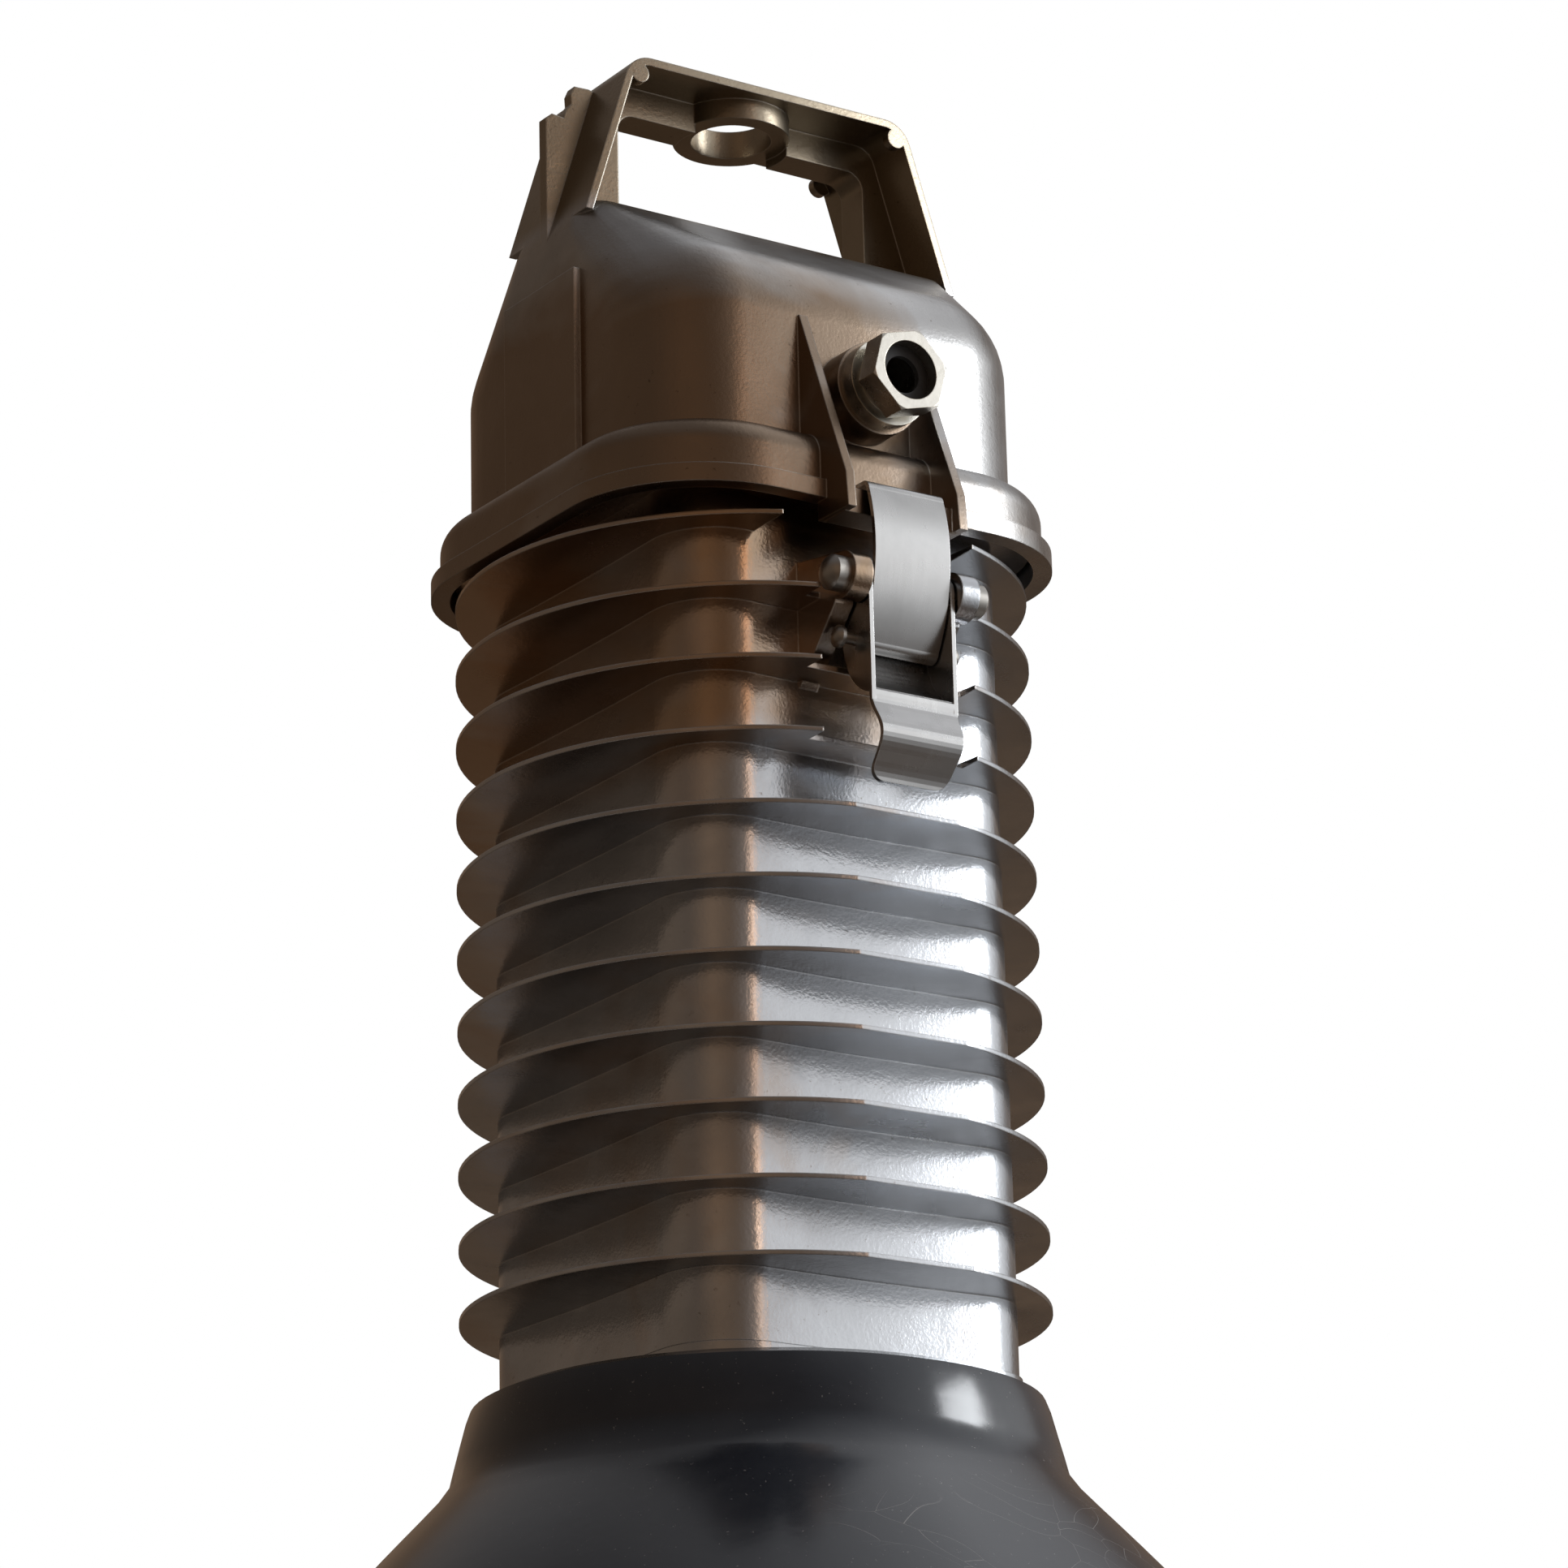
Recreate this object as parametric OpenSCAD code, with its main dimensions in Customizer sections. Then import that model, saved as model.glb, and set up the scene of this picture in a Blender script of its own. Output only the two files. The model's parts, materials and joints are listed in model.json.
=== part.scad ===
// High bay pendant luminaire: a cast cover with a suspension bail, a finned
// control gear housing hinged below it, a toggle latch, a cable gland, a
// screw lamp in a porcelain holder and an enamelled steel reflector.
// Millimetres. +Z up along the lamp axis, -Y towards the latch.
// The origin is the middle of the suspension hole in the bail.

/* [Suspension bail] */
// Diameter of the suspension hole
hole_d = 26; // [20:0.5:30]
// Diameter of the boss around the hole
boss_d = 38; // [34:0.5:44]
// Height of the boss
boss_h = 9.5; // [6:0.5:12]
// Height of the bail above the roof ridge
bail_h = 53; // [45:1:70]
// Length of the top bar between its sharp corners
bail_top_w = 104.5; // [98:0.5:108]
// Lean of each leg from the vertical, in degrees
bail_splay = 17.5; // [14:0.5:19]
// Width of the bail across the bar
bail_depth = 46.5; // [42:0.5:54]
// Thickness of the bail's outer skin
bail_skin = 2.6; // [2.2:0.1:3.6]
// Thickness of the bail's middle rib
bail_rib_t = 12; // [8:0.5:14]
// Depth of the middle rib from the outer face
bail_rib_h = 12.6; // [10:0.1:16]
// Outer corner radius of the bail
bail_r = 10; // [6:0.5:12]

/* [Cover] */
// Width of the cover's walls
cover_w = 143; // [136:1:150]
// Depth of the cover's walls, latch side to hinge side
cover_d = 136; // [130:1:144]
// Height from the skirt's bottom edge to the roof ridge
cover_h = 111; // [100:1:130]
// Corner radius of the walls
cover_r = 31; // [22:1:33]
// Wall thickness of the casting
cover_wall = 3.2; // [2.5:0.1:4]
// Height of the vertical wall above the skirt's bottom edge
wall_h = 64; // [54:1:68]
// How far the shoulder stands out from the walls
shoulder_out = 10.5; // [9:0.1:12]
// Height of the shoulder's top above the skirt's bottom edge
shoulder_h = 24; // [22:0.5:30]
// Rounding of the shoulder's top edge
shoulder_r = 9; // [5:0.5:9.5]
// How far the lower lip stands out from the shoulder
lip_out = 3; // [1.5:0.1:4]
// Height of the lower lip
lip_h = 6; // [4:0.5:8]
// Height of the hollow under the shoulder
skirt_hollow_h = 14.5; // [12:0.5:18]
// Thickness of the skirt's wall
skirt_wall = 3; // [2.5:0.1:4]
// Thickness of each latch rib on the cover
rib_t = 3; // [2:0.1:4]
// Distance from the middle to each latch rib
rib_x = 20.5; // [19.5:0.1:23]
// Width of the raised bare panel on the side
panel_w = 42; // [30:1:46]
// Height of the raised bare panel
panel_h = 64; // [50:1:68]
// How far the panel stands proud
panel_out = 2.2; // [1:0.1:3]

/* [Gland] */
// Height of the gland's axis above the skirt's bottom edge
gland_z = 41; // [38:0.5:44]
// Width across the flats of the gland nut
gland_nut_af = 24.5; // [24:0.5:28]
// Diameter of the gland body's collar
gland_body_d = 28; // [27:0.5:29.5]
// Diameter of the nut's mouth
gland_mouth_d = 19; // [15:0.5:20]
// Diameter of the body's thread
gland_thread_d = 21.5; // [21:0.5:22.5]
// Bore of the gland body
gland_bore_d = 15; // [10:0.5:17]
// Bore of the rubber seal
gland_seal_d = 12; // [6:0.5:14]
// Length of the boss on the cover
gland_boss_l = 11; // [8:0.5:13]
// Length of the gland nut
gland_nut_l = 8.5; // [7:0.5:11]

/* [Housing] */
// Width of the finned core
core_w = 122; // [116:1:126]
// Depth of the finned core
core_d = 131; // [126:1:134]
// Corner radius of the core
core_r = 22; // [16:1:26]
// Wall thickness of the core
core_wall = 3.5; // [3:0.1:4.5]
// Diameter of the fins
fin_d = 180; // [176:1:184]
// Distance from the middle to the flat edge on the latch side
fin_flat = 88; // [86.5:0.5:92]
// Number of fins
fin_count = 11; // [8:1:12]
// Distance from one fin to the next
fin_pitch = 22.86; // [20:0.02:24]
// Thickness of a fin at its edge
fin_tip_t = 1.4; // [1:0.1:2]
// Thickness of a fin at its root
fin_root_t = 3.2; // [2.4:0.1:4]
// Gap from the skirt's bottom edge to the top fin's middle
fin_drop = 7.5; // [6.5:0.1:9]
// Length of the plain core below the last fin
core_tail = 26.4; // [20:0.2:32]
// Depth of the gear chamber below the skirt's bottom edge
chamber_h = 168; // [160:1:178]
// Thickness of the floor between gear chamber and lamp chamber
floor_t = 4; // [3:0.5:6]
// Clearance between the gasket flange and the skirt around it
flange_gap = 1; // [0.8:0.1:2]
// Thickness of the gasket flange
flange_t = 4; // [3:0.5:5]

/* [Latch] */
// Diameter of the latch's pivot pin
pivot_d = 4.6; // [4:0.1:5]
// Distance from the lamp axis to the pivot pin
pivot_y = 89.6; // [88.8:0.2:92]
// Depth of the pivot pin below the top fin's middle
pivot_drop = 20; // [18:0.5:21]
// Diameter of the cast pivot lugs
lug_d = 15; // [13:0.5:17]
// Length of each cast pivot lug
lug_l = 6.5; // [5:0.5:10]
// Distance from the pivot pin down to the strap pin
strap_drop = 17.5; // [17:0.5:21]
// Width of the latch strap
strap_w = 27.5; // [24:0.5:29]
// Thickness of the strap's and the lever's sheet
sheet_t = 1.5; // [1:0.1:1.8]
// Bending radius of the strap
strap_r = 60; // [56:1:66]
// Length of the lever's bulged finger tab
tab_l = 25.5; // [20:0.5:32]
// How far the finger tab bulges
tab_bulge = 6; // [3:0.5:9]

/* [Hinge] */
// Diameter of the hinge pin
hinge_pin_d = 5; // [4:0.1:6]
// Diameter of the hinge knuckles
knuckle_d = 12; // [10:0.5:12.5]
// Length of each hinge knuckle
knuckle_l = 12; // [8:0.5:14]
// Distance from the lamp axis to the hinge pin
hinge_y = 94; // [93:0.5:97]
// Height of the hinge pin above the skirt's bottom edge
hinge_up = 5; // [4:0.2:7]

/* [Control gear] */
// Width of the gear tray
tray_w = 96; // [90:1:104]
// Height of the gear tray
tray_h = 156; // [146:1:160]
// Thickness of the gear tray
tray_t = 1.5; // [1:0.1:2]
// Width of the ballast's laminated core
ballast_w = 58; // [50:1:60]
// Depth of the ballast's laminated core
ballast_d = 62; // [50:1:66]
// Height of the ballast's laminated core
ballast_h = 88; // [70:1:88]
// Diameter of the capacitor's can
capacitor_d = 38; // [30:1:39]
// Height of the capacitor's can
capacitor_h = 82; // [60:1:88]

/* [Lamp] */
// Diameter of the porcelain lampholder
holder_d = 54; // [50:1:60]
// Length of the porcelain lampholder
holder_l = 70; // [60:1:74]
// Diameter of the lamp's screw cap
cap_d = 39; // [38:0.2:39.4]
// Length of the lamp's screw cap
cap_l = 44; // [38:1:48]
// Diameter of the lamp's glass bulb
bulb_d = 90; // [76:1:96]
// Length of the lamp's glass bulb
bulb_l = 182; // [150:1:200]

/* [Reflector] */
// Diameter of the reflector's shoulder
shoulder_d = 177; // [172:1:184]
// Height of the reflector's neck
neck_h = 19.5; // [16:0.5:26]
// Diameter at the foot of the neck
neck_d = 184; // [180:1:190]
// Diameter of the reflector's mouth
mouth_d = 464; // [380:2:520]
// Height of the flared bell
bell_h = 203; // [160:1:260]
// Shape of the bell: 1 is a cone, more is rounder
bell_power = 1.4; // [1.1:0.05:1.8]
// Diameter of the hole in the reflector's top plate
plate_hole_d = 104; // [100:1:112]
// Thickness of the reflector's sheet
bell_t = 1.2; // [0.8:0.1:2]
// Diameter of the rolled bead on the reflector's edge
bead_d = 7; // [5:0.5:10]

/* [Hidden] */
$fn = 96;
eps = 0.05;
// Radial clearance of a pin in its bore
run = 0.05;
// Clearance beside a moving cheek or knuckle
side_gap = 0.5;

// Levels, from the top down
z_top = boss_h / 2;
z_ridge = z_top - bail_h;
z_skirt = z_ridge - cover_h;
z_wall_top = z_skirt + wall_h;
z_shoulder = z_skirt + shoulder_h;
z_hollow = z_skirt + skirt_hollow_h;
gasket_t = 4;
gasket_w = 8;
z_flange = z_hollow - gasket_t;
z_fin = z_skirt - fin_drop;
z_core_end = z_fin - (fin_count - 1) * fin_pitch - core_tail;
z_floor = z_skirt - chamber_h;
z_pivot = z_fin - pivot_drop;
z_strap = z_pivot - strap_drop;
z_hinge = z_skirt + hinge_up;

// Outlines in plan
lip_w = cover_w + 2 * (shoulder_out + lip_out);
lip_d = cover_d + 2 * (shoulder_out + lip_out);
band_w = lip_w - 2 * lip_out;
band_d = lip_d - 2 * lip_out;
lip_r = 46;
band_r = lip_r - lip_out;
flange_w = band_w - 2 * (skirt_wall + flange_gap);
flange_d = band_d - 2 * (skirt_wall + flange_gap);
flange_r = band_r - skirt_wall - flange_gap;
gland_y = -cover_d / 2 - gland_boss_l;
gland_axis_z = z_skirt + gland_z;
gland_collar_l = 6;
gland_thread_l = 5;
gland_seal_t = 2;
y_front = -lip_d / 2;

// The catch block that the strap hooks over
catch_t = 7.5;
catch_h = 8;
z_catch = z_skirt + 1.7;
y_catch = y_front - catch_t;
catch_gap = 1.2;

// ---------- shared shapes ----------

module rounded_rect(w, d, r) {
    square([w - 2 * r, d], center = true);
    square([w, d - 2 * r], center = true);
    for (x = [-1, 1], y = [-1, 1]) {
        translate([x * (w / 2 - r), y * (d / 2 - r)]) circle(r);
    }
}

module block_xy(w, d, r, z0, z1) {
    translate([0, 0, z0]) linear_extrude(z1 - z0) rounded_rect(w, d, r);
}

// Half of a slab's section: r wide, h high, its top corner rounded by e
module soft_section(r, h, e) {
    square([r, h - e]);
    square([r - e, h]);
    translate([r - e, h - e]) circle(e);
}

// A slab with plan corners of radius r and its top edge rounded by e
module soft_slab(w, d, r, h, e) {
    for (x = [-1, 1], y = [-1, 1]) {
        translate([x * (w / 2 - r), y * (d / 2 - r), 0]) rotate_extrude() soft_section(r, h, e);
    }
    translate([-(w / 2 - r), 0, 0]) rotate([90, 0, 90]) linear_extrude(w - 2 * r) {
        soft_section(d / 2, h, e);
        mirror([1, 0]) soft_section(d / 2, h, e);
    }
    translate([0, d / 2 - r, 0]) rotate([90, 0, 0]) linear_extrude(d - 2 * r) {
        soft_section(w / 2, h, e);
        mirror([1, 0]) soft_section(w / 2, h, e);
    }
}

// A round bar along X, centred on x = 0
module bar_x(d, l, y, z) {
    translate([-l / 2, y, z]) rotate([0, 90, 0]) cylinder(d = d, h = l);
}

// A profile drawn in Y and Z, extruded along X about x = 0
module along_x(l) {
    translate([-l / 2, 0, 0]) rotate([90, 0, 90]) linear_extrude(l) children();
}

// A profile drawn in X and Z, extruded along Y about y = 0
module along_y(l) {
    translate([0, l / 2, 0]) rotate([90, 0, 0]) linear_extrude(l) children();
}

module domed_head(d, h) {
    intersection() {
        cylinder(d = d, h = h);
        translate([0, 0, h - d * 0.62]) sphere(d = d * 1.24);
    }
}

// ---------- cover ----------

// Half width of the bail's outer face at a height
function leg_x(z) = bail_top_w / 2 + (z_top - z) * tan(bail_splay);
z_leg_foot = z_top - (cover_w / 2 - bail_top_w / 2) / tan(bail_splay);

// The bail's outline, taken in by an inset, down to a level
module bail_outline(inset, r, z_low) {
    top = z_top - inset;
    side = inset / cos(bail_splay);
    cx = leg_x(top - r) - side - r / cos(bail_splay);
    tx = cx + r * cos(bail_splay);
    tz = top - r + r * sin(bail_splay);
    foot = leg_x(z_low) - side;
    polygon([[-foot, z_low], [-tx, tz], [-cx, top], [cx, top], [tx, tz], [foot, z_low]]);
    for (s = [-1, 1]) {
        translate([s * cx, top - r]) circle(r);
    }
}

// The window inside the middle rib: straight sides, soft upper corners
module rib_window(z_low) {
    half = bail_top_w / 2 - 5.2;
    top = z_top - bail_rib_h;
    r = 6;
    translate([-half, z_low]) square([2 * half, top - r - z_low]);
    translate([-half + r, z_low]) square([2 * (half - r), top - z_low]);
    for (s = [-1, 1]) {
        translate([s * (half - r), top - r]) circle(r);
    }
}

// A thin web outside each leg, upright at its outer edge, stepped at its top
gusset_t = 4;

module gusset_section() {
    inner = bail_top_w / 2;
    reach = cover_w / 2 - inner;
    polygon([[inner + reach, z_leg_foot - 4], [inner + reach, z_top - 18.3],
        [inner + 0.88 * reach, z_top - 16.4], [inner + 0.65 * reach, z_top - 16.9],
        [inner + 0.61 * reach, z_top - 14.2], [inner + 0.5 * reach, z_top - 11.3],
        [inner + 0.51 * reach, z_top - 8], [inner + 0.44 * reach, z_top - 5],
        [inner + 0.16 * reach, z_top - 4.8], [inner, z_top - 5.6],
        [inner + 0.9 * reach, z_leg_foot - 4]]);
}

module bail() {
    low = z_ridge - 4;
    pad_r = 3.3;
    along_y(bail_depth) intersection() {
        difference() {
            bail_outline(0, bail_r, low);
            bail_outline(bail_skin, bail_r - bail_skin, low - 1);
        }
        translate([-cover_w / 2, low]) square([cover_w, bail_h + 20]);
    }
    along_y(bail_rib_t) difference() {
        intersection() {
            bail_outline(0, bail_r, low);
            translate([-cover_w / 2, low]) square([cover_w, bail_h + 20]);
        }
        rib_window(low - 1);
    }
    for (s = [0, 180]) {
        rotate([0, 0, s]) along_y(gusset_t) gusset_section();
    }
    pad_x = bail_top_w / 2 - 3;
    for (x = [-1, 1], y = [-1, 1]) {
        translate([x * pad_x, y * (bail_depth / 2 - 1.5), z_top - 5.8]) rotate([90, 0, 0])
            cylinder(r = pad_r, h = 3, center = true);
    }
    translate([0, 0, -z_top]) cylinder(d = boss_d, h = boss_h);
}

// The cover's body as a closed form, taken in by an inset; walls, soft
// corners and a roof that slopes from the ridge to both long sides
module cover_form(inset) {
    r = cover_r - inset;
    cx = cover_w / 2 - cover_r;
    cy = cover_d / 2 - cover_r;
    base = z_hollow - (inset > 0 ? 1 : 0);
    low = z_ridge - 20;
    end_r = 9;
    end_y = bail_depth / 2 - end_r;
    hull() {
        for (x = [-1, 1], y = [-1, 1]) {
            translate([x * cx, y * cy, base]) cylinder(r = r, h = z_wall_top - base, $fn = 48);
            translate([x * cx, y * cy, z_wall_top]) sphere(r = r, $fn = 48);
            translate([x * (cover_w / 2 - end_r), y * end_y, low])
                cylinder(r = end_r - inset, h = z_leg_foot - inset * 0.6 - low, $fn = 48);
            translate([x * (leg_x(z_ridge) - end_r), y * end_y, low])
                cylinder(r = end_r - inset, h = z_ridge - inset - low, $fn = 48);
        }
    }
}

module skirt() {
    translate([0, 0, z_skirt]) linear_extrude(lip_h) rounded_rect(lip_w, lip_d, lip_r);
    translate([0, 0, z_skirt + lip_h - eps]) soft_slab(band_w, band_d, band_r,
        shoulder_h - lip_h + eps, shoulder_r);
}

// One triangular rib beside the latch, and the catch block between the two
module latch_ribs() {
    wall_y = -cover_d / 2;
    for (x = [-1, 1]) {
        translate([x * rib_x, 0, 0]) along_x(rib_t) polygon([
            [wall_y + 2, z_skirt + 64.5], [wall_y - 1, z_skirt + 64.5], [y_catch - 3, z_skirt + 5.5],
            [y_catch - 4, z_skirt - 6], [y_front + lip_out + 2, z_skirt - 6],
            [y_front + lip_out + 2, z_hollow + 2], [wall_y + 2, z_shoulder - 3]]);
    }
    translate([-rib_x, y_catch, z_catch - catch_h]) cube([2 * rib_x, catch_t + 4, catch_h]);
}

// Knuckles behind the skirt, each on a short arm
module cover_knuckles() {
    for (x = [-1, 1]) {
        translate([x * (2.5 * knuckle_l + side_gap + 3.5 - knuckle_l / 2), 0, 0]) {
            bar_x(knuckle_d, knuckle_l, hinge_y, z_hinge);
            along_x(knuckle_l) polygon([[lip_d / 2 - 2, z_skirt + 1], [hinge_y, z_hinge - knuckle_d / 2],
                [hinge_y, z_hinge + knuckle_d / 2], [lip_d / 2 - lip_out - 1, z_skirt + 14]]);
        }
    }
}

module cover() {
    color("silver") difference() {
        union() {
            cover_form(0);
            skirt();
            bail();
            latch_ribs();
            cover_knuckles();
            translate([0, gland_y, gland_axis_z]) rotate([-90, 0, 0])
                cylinder(d = 30, h = gland_boss_l + 2);
            translate([-cover_w / 2 - panel_out, -panel_w / 2, z_shoulder - 1])
                cube([panel_out + 1, panel_w, panel_h]);
        }
        cover_form(cover_wall);
        block_xy(band_w - 2 * skirt_wall, band_d - 2 * skirt_wall, band_r - skirt_wall,
            z_skirt - 1, z_hollow);
        translate([0, 0, -z_top - 1]) cylinder(d = hole_d, h = boss_h + 2);
        translate([0, 0, -z_top - 10]) cylinder(d = boss_d - 1, h = 10);
        translate([0, gland_y - 1, gland_axis_z]) rotate([-90, 0, 0])
            cylinder(d = gland_bore_d + 5, h = gland_boss_l + 8);
        bar_x(hinge_pin_d, 200, hinge_y, z_hinge);
    }
}

module cover_gasket() {
    inner = 2 * gasket_w;
    color("dimgray") difference() {
        block_xy(flange_w, flange_d, flange_r, z_flange, z_hollow);
        block_xy(flange_w - inner, flange_d - inner, flange_r - gasket_w, z_flange - 1, z_hollow + 1);
    }
}

// ---------- cable gland ----------

hex_turn = 15;

module hex_y(af, y0, l) {
    translate([0, y0, gland_axis_z]) rotate([-90, -hex_turn, 0]) cylinder(d = af / cos(30), h = l, $fn = 6);
}

module tube_y(d, y0, l) {
    translate([0, y0, gland_axis_z]) rotate([-90, 0, 0]) cylinder(d = d, h = l);
}

y_body = gland_y - gland_collar_l;
y_thread = y_body - gland_thread_l;
y_seal = y_thread - gland_seal_t;
y_nut = y_body - 3 - gland_nut_l;

module gland_body() {
    color("gainsboro") difference() {
        union() {
            tube_y(gland_body_d, y_body, gland_collar_l);
            tube_y(gland_thread_d, y_thread, gland_thread_l);
            tube_y(gland_bore_d + 5 - 2 * run, gland_y, gland_boss_l + 5);
        }
        tube_y(gland_bore_d, y_thread - 1, 60);
    }
}

module gland_seal() {
    color("black") difference() {
        tube_y(gland_thread_d, y_seal, gland_seal_t);
        tube_y(gland_seal_d, y_seal - 1, gland_seal_t + 2);
    }
}

module gland_nut() {
    color("gainsboro") difference() {
        intersection() {
            hex_y(gland_nut_af, y_nut, gland_nut_l);
            translate([0, y_nut, gland_axis_z]) rotate([-90, 0, 0])
                cylinder(d1 = gland_nut_af + 2, d2 = gland_nut_af + 2 + 4 * gland_nut_l, h = gland_nut_l);
        }
        tube_y(gland_mouth_d, y_nut - 1, gland_nut_l + 2);
        tube_y(gland_thread_d + 2 * run, y_seal, 30);
    }
}

// ---------- housing ----------

module fin(z) {
    core_in = 50;
    translate([0, 0, z]) rotate_extrude() polygon([
        [core_in, -fin_root_t / 2 - 0.3], [fin_d / 2, -fin_tip_t / 2],
        [fin_d / 2, fin_tip_t / 2], [core_in, fin_root_t / 2 + 0.3]]);
}

fin_stop_l = 38;
fin_stop_r = 29;

module fins() {
    difference() {
        for (i = [0 : fin_count - 1]) fin(z_fin - i * fin_pitch);
        translate([-100, -fin_flat - 50, z_core_end]) cube([200, 50, 400]);
        // the top fin stops short of the catch on both sides
        translate([-fin_stop_l, -100, z_fin - fin_pitch / 2])
            cube([fin_stop_l + fin_stop_r, 100 - core_d / 2, fin_pitch]);
        // the next fins step back behind the lever
        translate([-28, -100, z_fin - 3.5 * fin_pitch]) cube([56, 100 - core_d / 2 - 12, 3.5 * fin_pitch]);
    }
}

// One cast ear for the latch pin, tapering down into the core
module latch_ears() {
    inner = strap_w / 2 + sheet_t + side_gap + 0.6;
    for (x = [-1, 1]) {
        translate([x * (inner + lug_l / 2), 0, 0]) {
            bar_x(lug_d, lug_l, -pivot_y, z_pivot);
            along_x(lug_l) polygon([[-pivot_y, z_pivot + lug_d / 2], [-core_d / 2 + 1, z_pivot + lug_d / 2 + 4],
                [-core_d / 2 + 1, z_pivot - 30], [-pivot_y + 4, z_pivot - lug_d / 2]]);
        }
    }
}

module housing_knuckles() {
    for (x = [-1, 1]) {
        translate([x * (3 + knuckle_l), 0, 0]) {
            bar_x(knuckle_d, knuckle_l, hinge_y, z_hinge);
            along_x(knuckle_l) polygon([[core_d / 2 - 1, z_fin], [hinge_y, z_fin + 1.5],
                [hinge_y + knuckle_d / 2, z_hinge], [hinge_y - knuckle_d / 2 + 1, z_hinge - 2],
                [lip_d / 2 + 1.5, z_skirt - 1.5], [core_d / 2 - 1, z_skirt - 1.5]]);
        }
    }
}

// Places of the reflector's screws, in the core's corners
screw_x = core_w / 2 - 17;
screw_y = core_d / 2 - 17;
post_d = 12;
post_tie = 9.5;

module housing() {
    color("silver") difference() {
        union() {
            difference() {
                union() {
                    block_xy(core_w, core_d, core_r, z_core_end, z_flange);
                    block_xy(core_w + 2, core_d + 2, core_r + 1, z_core_end, z_core_end + 3);
                    fins();
                    latch_ears();
                    block_xy(flange_w, flange_d, flange_r, z_flange - flange_t, z_flange);
                }
                difference() {
                    block_xy(core_w - 2 * core_wall, core_d - 2 * core_wall, core_r - core_wall,
                        z_core_end - 1, z_flange + 1);
                    block_xy(core_w, core_d, core_r, z_floor - floor_t, z_floor);
                }
            }
            housing_knuckles();
            for (x = [-1, 1], y = [-1, 1]) {
                translate([x * screw_x, y * screw_y, z_core_end]) {
                    cylinder(d = post_d, h = 20);
                    translate([x * post_tie / 2, y * post_tie / 2, 10])
                        cube([post_tie, post_tie, 20], center = true);
                }
            }
            for (x = [-1, 1], z = [z_floor + 12, z_floor + tray_h - 6]) {
                translate([x * (tray_w / 2 - 8), core_d / 2 - core_wall + 1, z]) rotate([90, 0, 0])
                    cylinder(d = 10, h = core_d / 2 - core_wall + 1 - y_tray);
            }
        }
        // lead hole in the floor
        translate([-38, 22, z_floor - floor_t - 1]) cylinder(d = 12, h = floor_t + 2);
        bar_x(pivot_d, 100, -pivot_y, z_pivot);
        bar_x(hinge_pin_d + 2 * run, 60, hinge_y, z_hinge);
        for (x = [-1, 1], y = [-1, 1]) {
            translate([x * screw_x, y * screw_y, z_core_end - 1]) cylinder(d = 4.2, h = 16);
        }
    }
}

// ---------- hinge and latch ----------

module hinge_pin() {
    l = 6 * knuckle_l + 12;
    color("lightsteelblue") {
        bar_x(hinge_pin_d, l, hinge_y, z_hinge);
        translate([l / 2, hinge_y, z_hinge]) rotate([0, 90, 0]) domed_head(9, 2.5);
    }
}

pivot_half = strap_w / 2 + sheet_t + side_gap + 0.6 + lug_l;

module latch_pivot_pin() {
    color("lightsteelblue") {
        bar_x(pivot_d, 2 * pivot_half, -pivot_y, z_pivot);
        for (s = [0, 180]) {
            rotate([0, 0, s]) translate([pivot_half, s == 0 ? -pivot_y : pivot_y, z_pivot])
                rotate([0, 90, 0]) domed_head(11, 7);
        }
    }
}

// The strap's bowed leaf: its outer face passes the pivot pin in front, and
// its rolled eye stands just proud of that face
strap_mid_z = z_pivot + 11.5;
strap_mid_y = -pivot_y - 5.2 + strap_r;
strap_pin_d = pivot_d - 1;
eye_r = strap_pin_d / 2 + run + sheet_t;
eye_proud = 0.15;
y_strap = strap_mid_y - sqrt(pow(strap_r - eye_r + eye_proud, 2) - pow(strap_mid_z - z_strap, 2));

// The strap pin's half length over the lever's cheeks
cheek_x = strap_w / 2 + 0.5;
strap_half = cheek_x + sheet_t + 4;

module strap_pin() {
    color("lightsteelblue") {
        bar_x(strap_pin_d, 2 * strap_half, y_strap, z_strap);
        for (s = [0, 180]) {
            rotate([0, 0, s]) translate([strap_half, s == 0 ? y_strap : -y_strap, z_strap])
                rotate([0, 90, 0]) domed_head(7, 3);
        }
    }
}

// Section of the finger tab: a sheet that swells outwards and comes back
tab_steps = 20;
tab_r = 5;
y_lever = -pivot_y - 3.8;
z_web = z_pivot - 36;
tab_top = z_web - 1.5;
function tab_y(t) = y_lever + sheet_t - tab_bulge * (1 - cos(360 * t)) / 2 + 4.5 * t;

module tab_section() {
    polygon(concat(
        [[tab_y(0), z_web]],
        [for (i = [0 : tab_steps]) [tab_y(i / tab_steps), tab_top - tab_l * i / tab_steps]],
        [for (i = [tab_steps : -1 : 0]) [tab_y(i / tab_steps) - sheet_t, tab_top - tab_l * i / tab_steps]],
        [[tab_y(0) - sheet_t, z_web]]));
}

// The lever's web runs from the tab inwards and up behind the strap
web_t = 1.2;
web_steps = 12;
web_a = [y_lever + sheet_t / 2, z_web];
web_b = [y_strap + 2.5, z_web + 4];
web_c = [y_strap + 4.5, z_strap + 1];
function web_at(t) = web_a * pow(1 - t, 2) + web_b * 2 * t * (1 - t) + web_c * t * t;

module web_section() {
    polygon(concat(
        [for (i = [0 : web_steps]) web_at(i / web_steps) + [-web_t * 0.3, web_t / 2]],
        [for (i = [web_steps : -1 : 0]) web_at(i / web_steps) + [web_t * 0.5, -web_t * 0.6]]));
}

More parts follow.
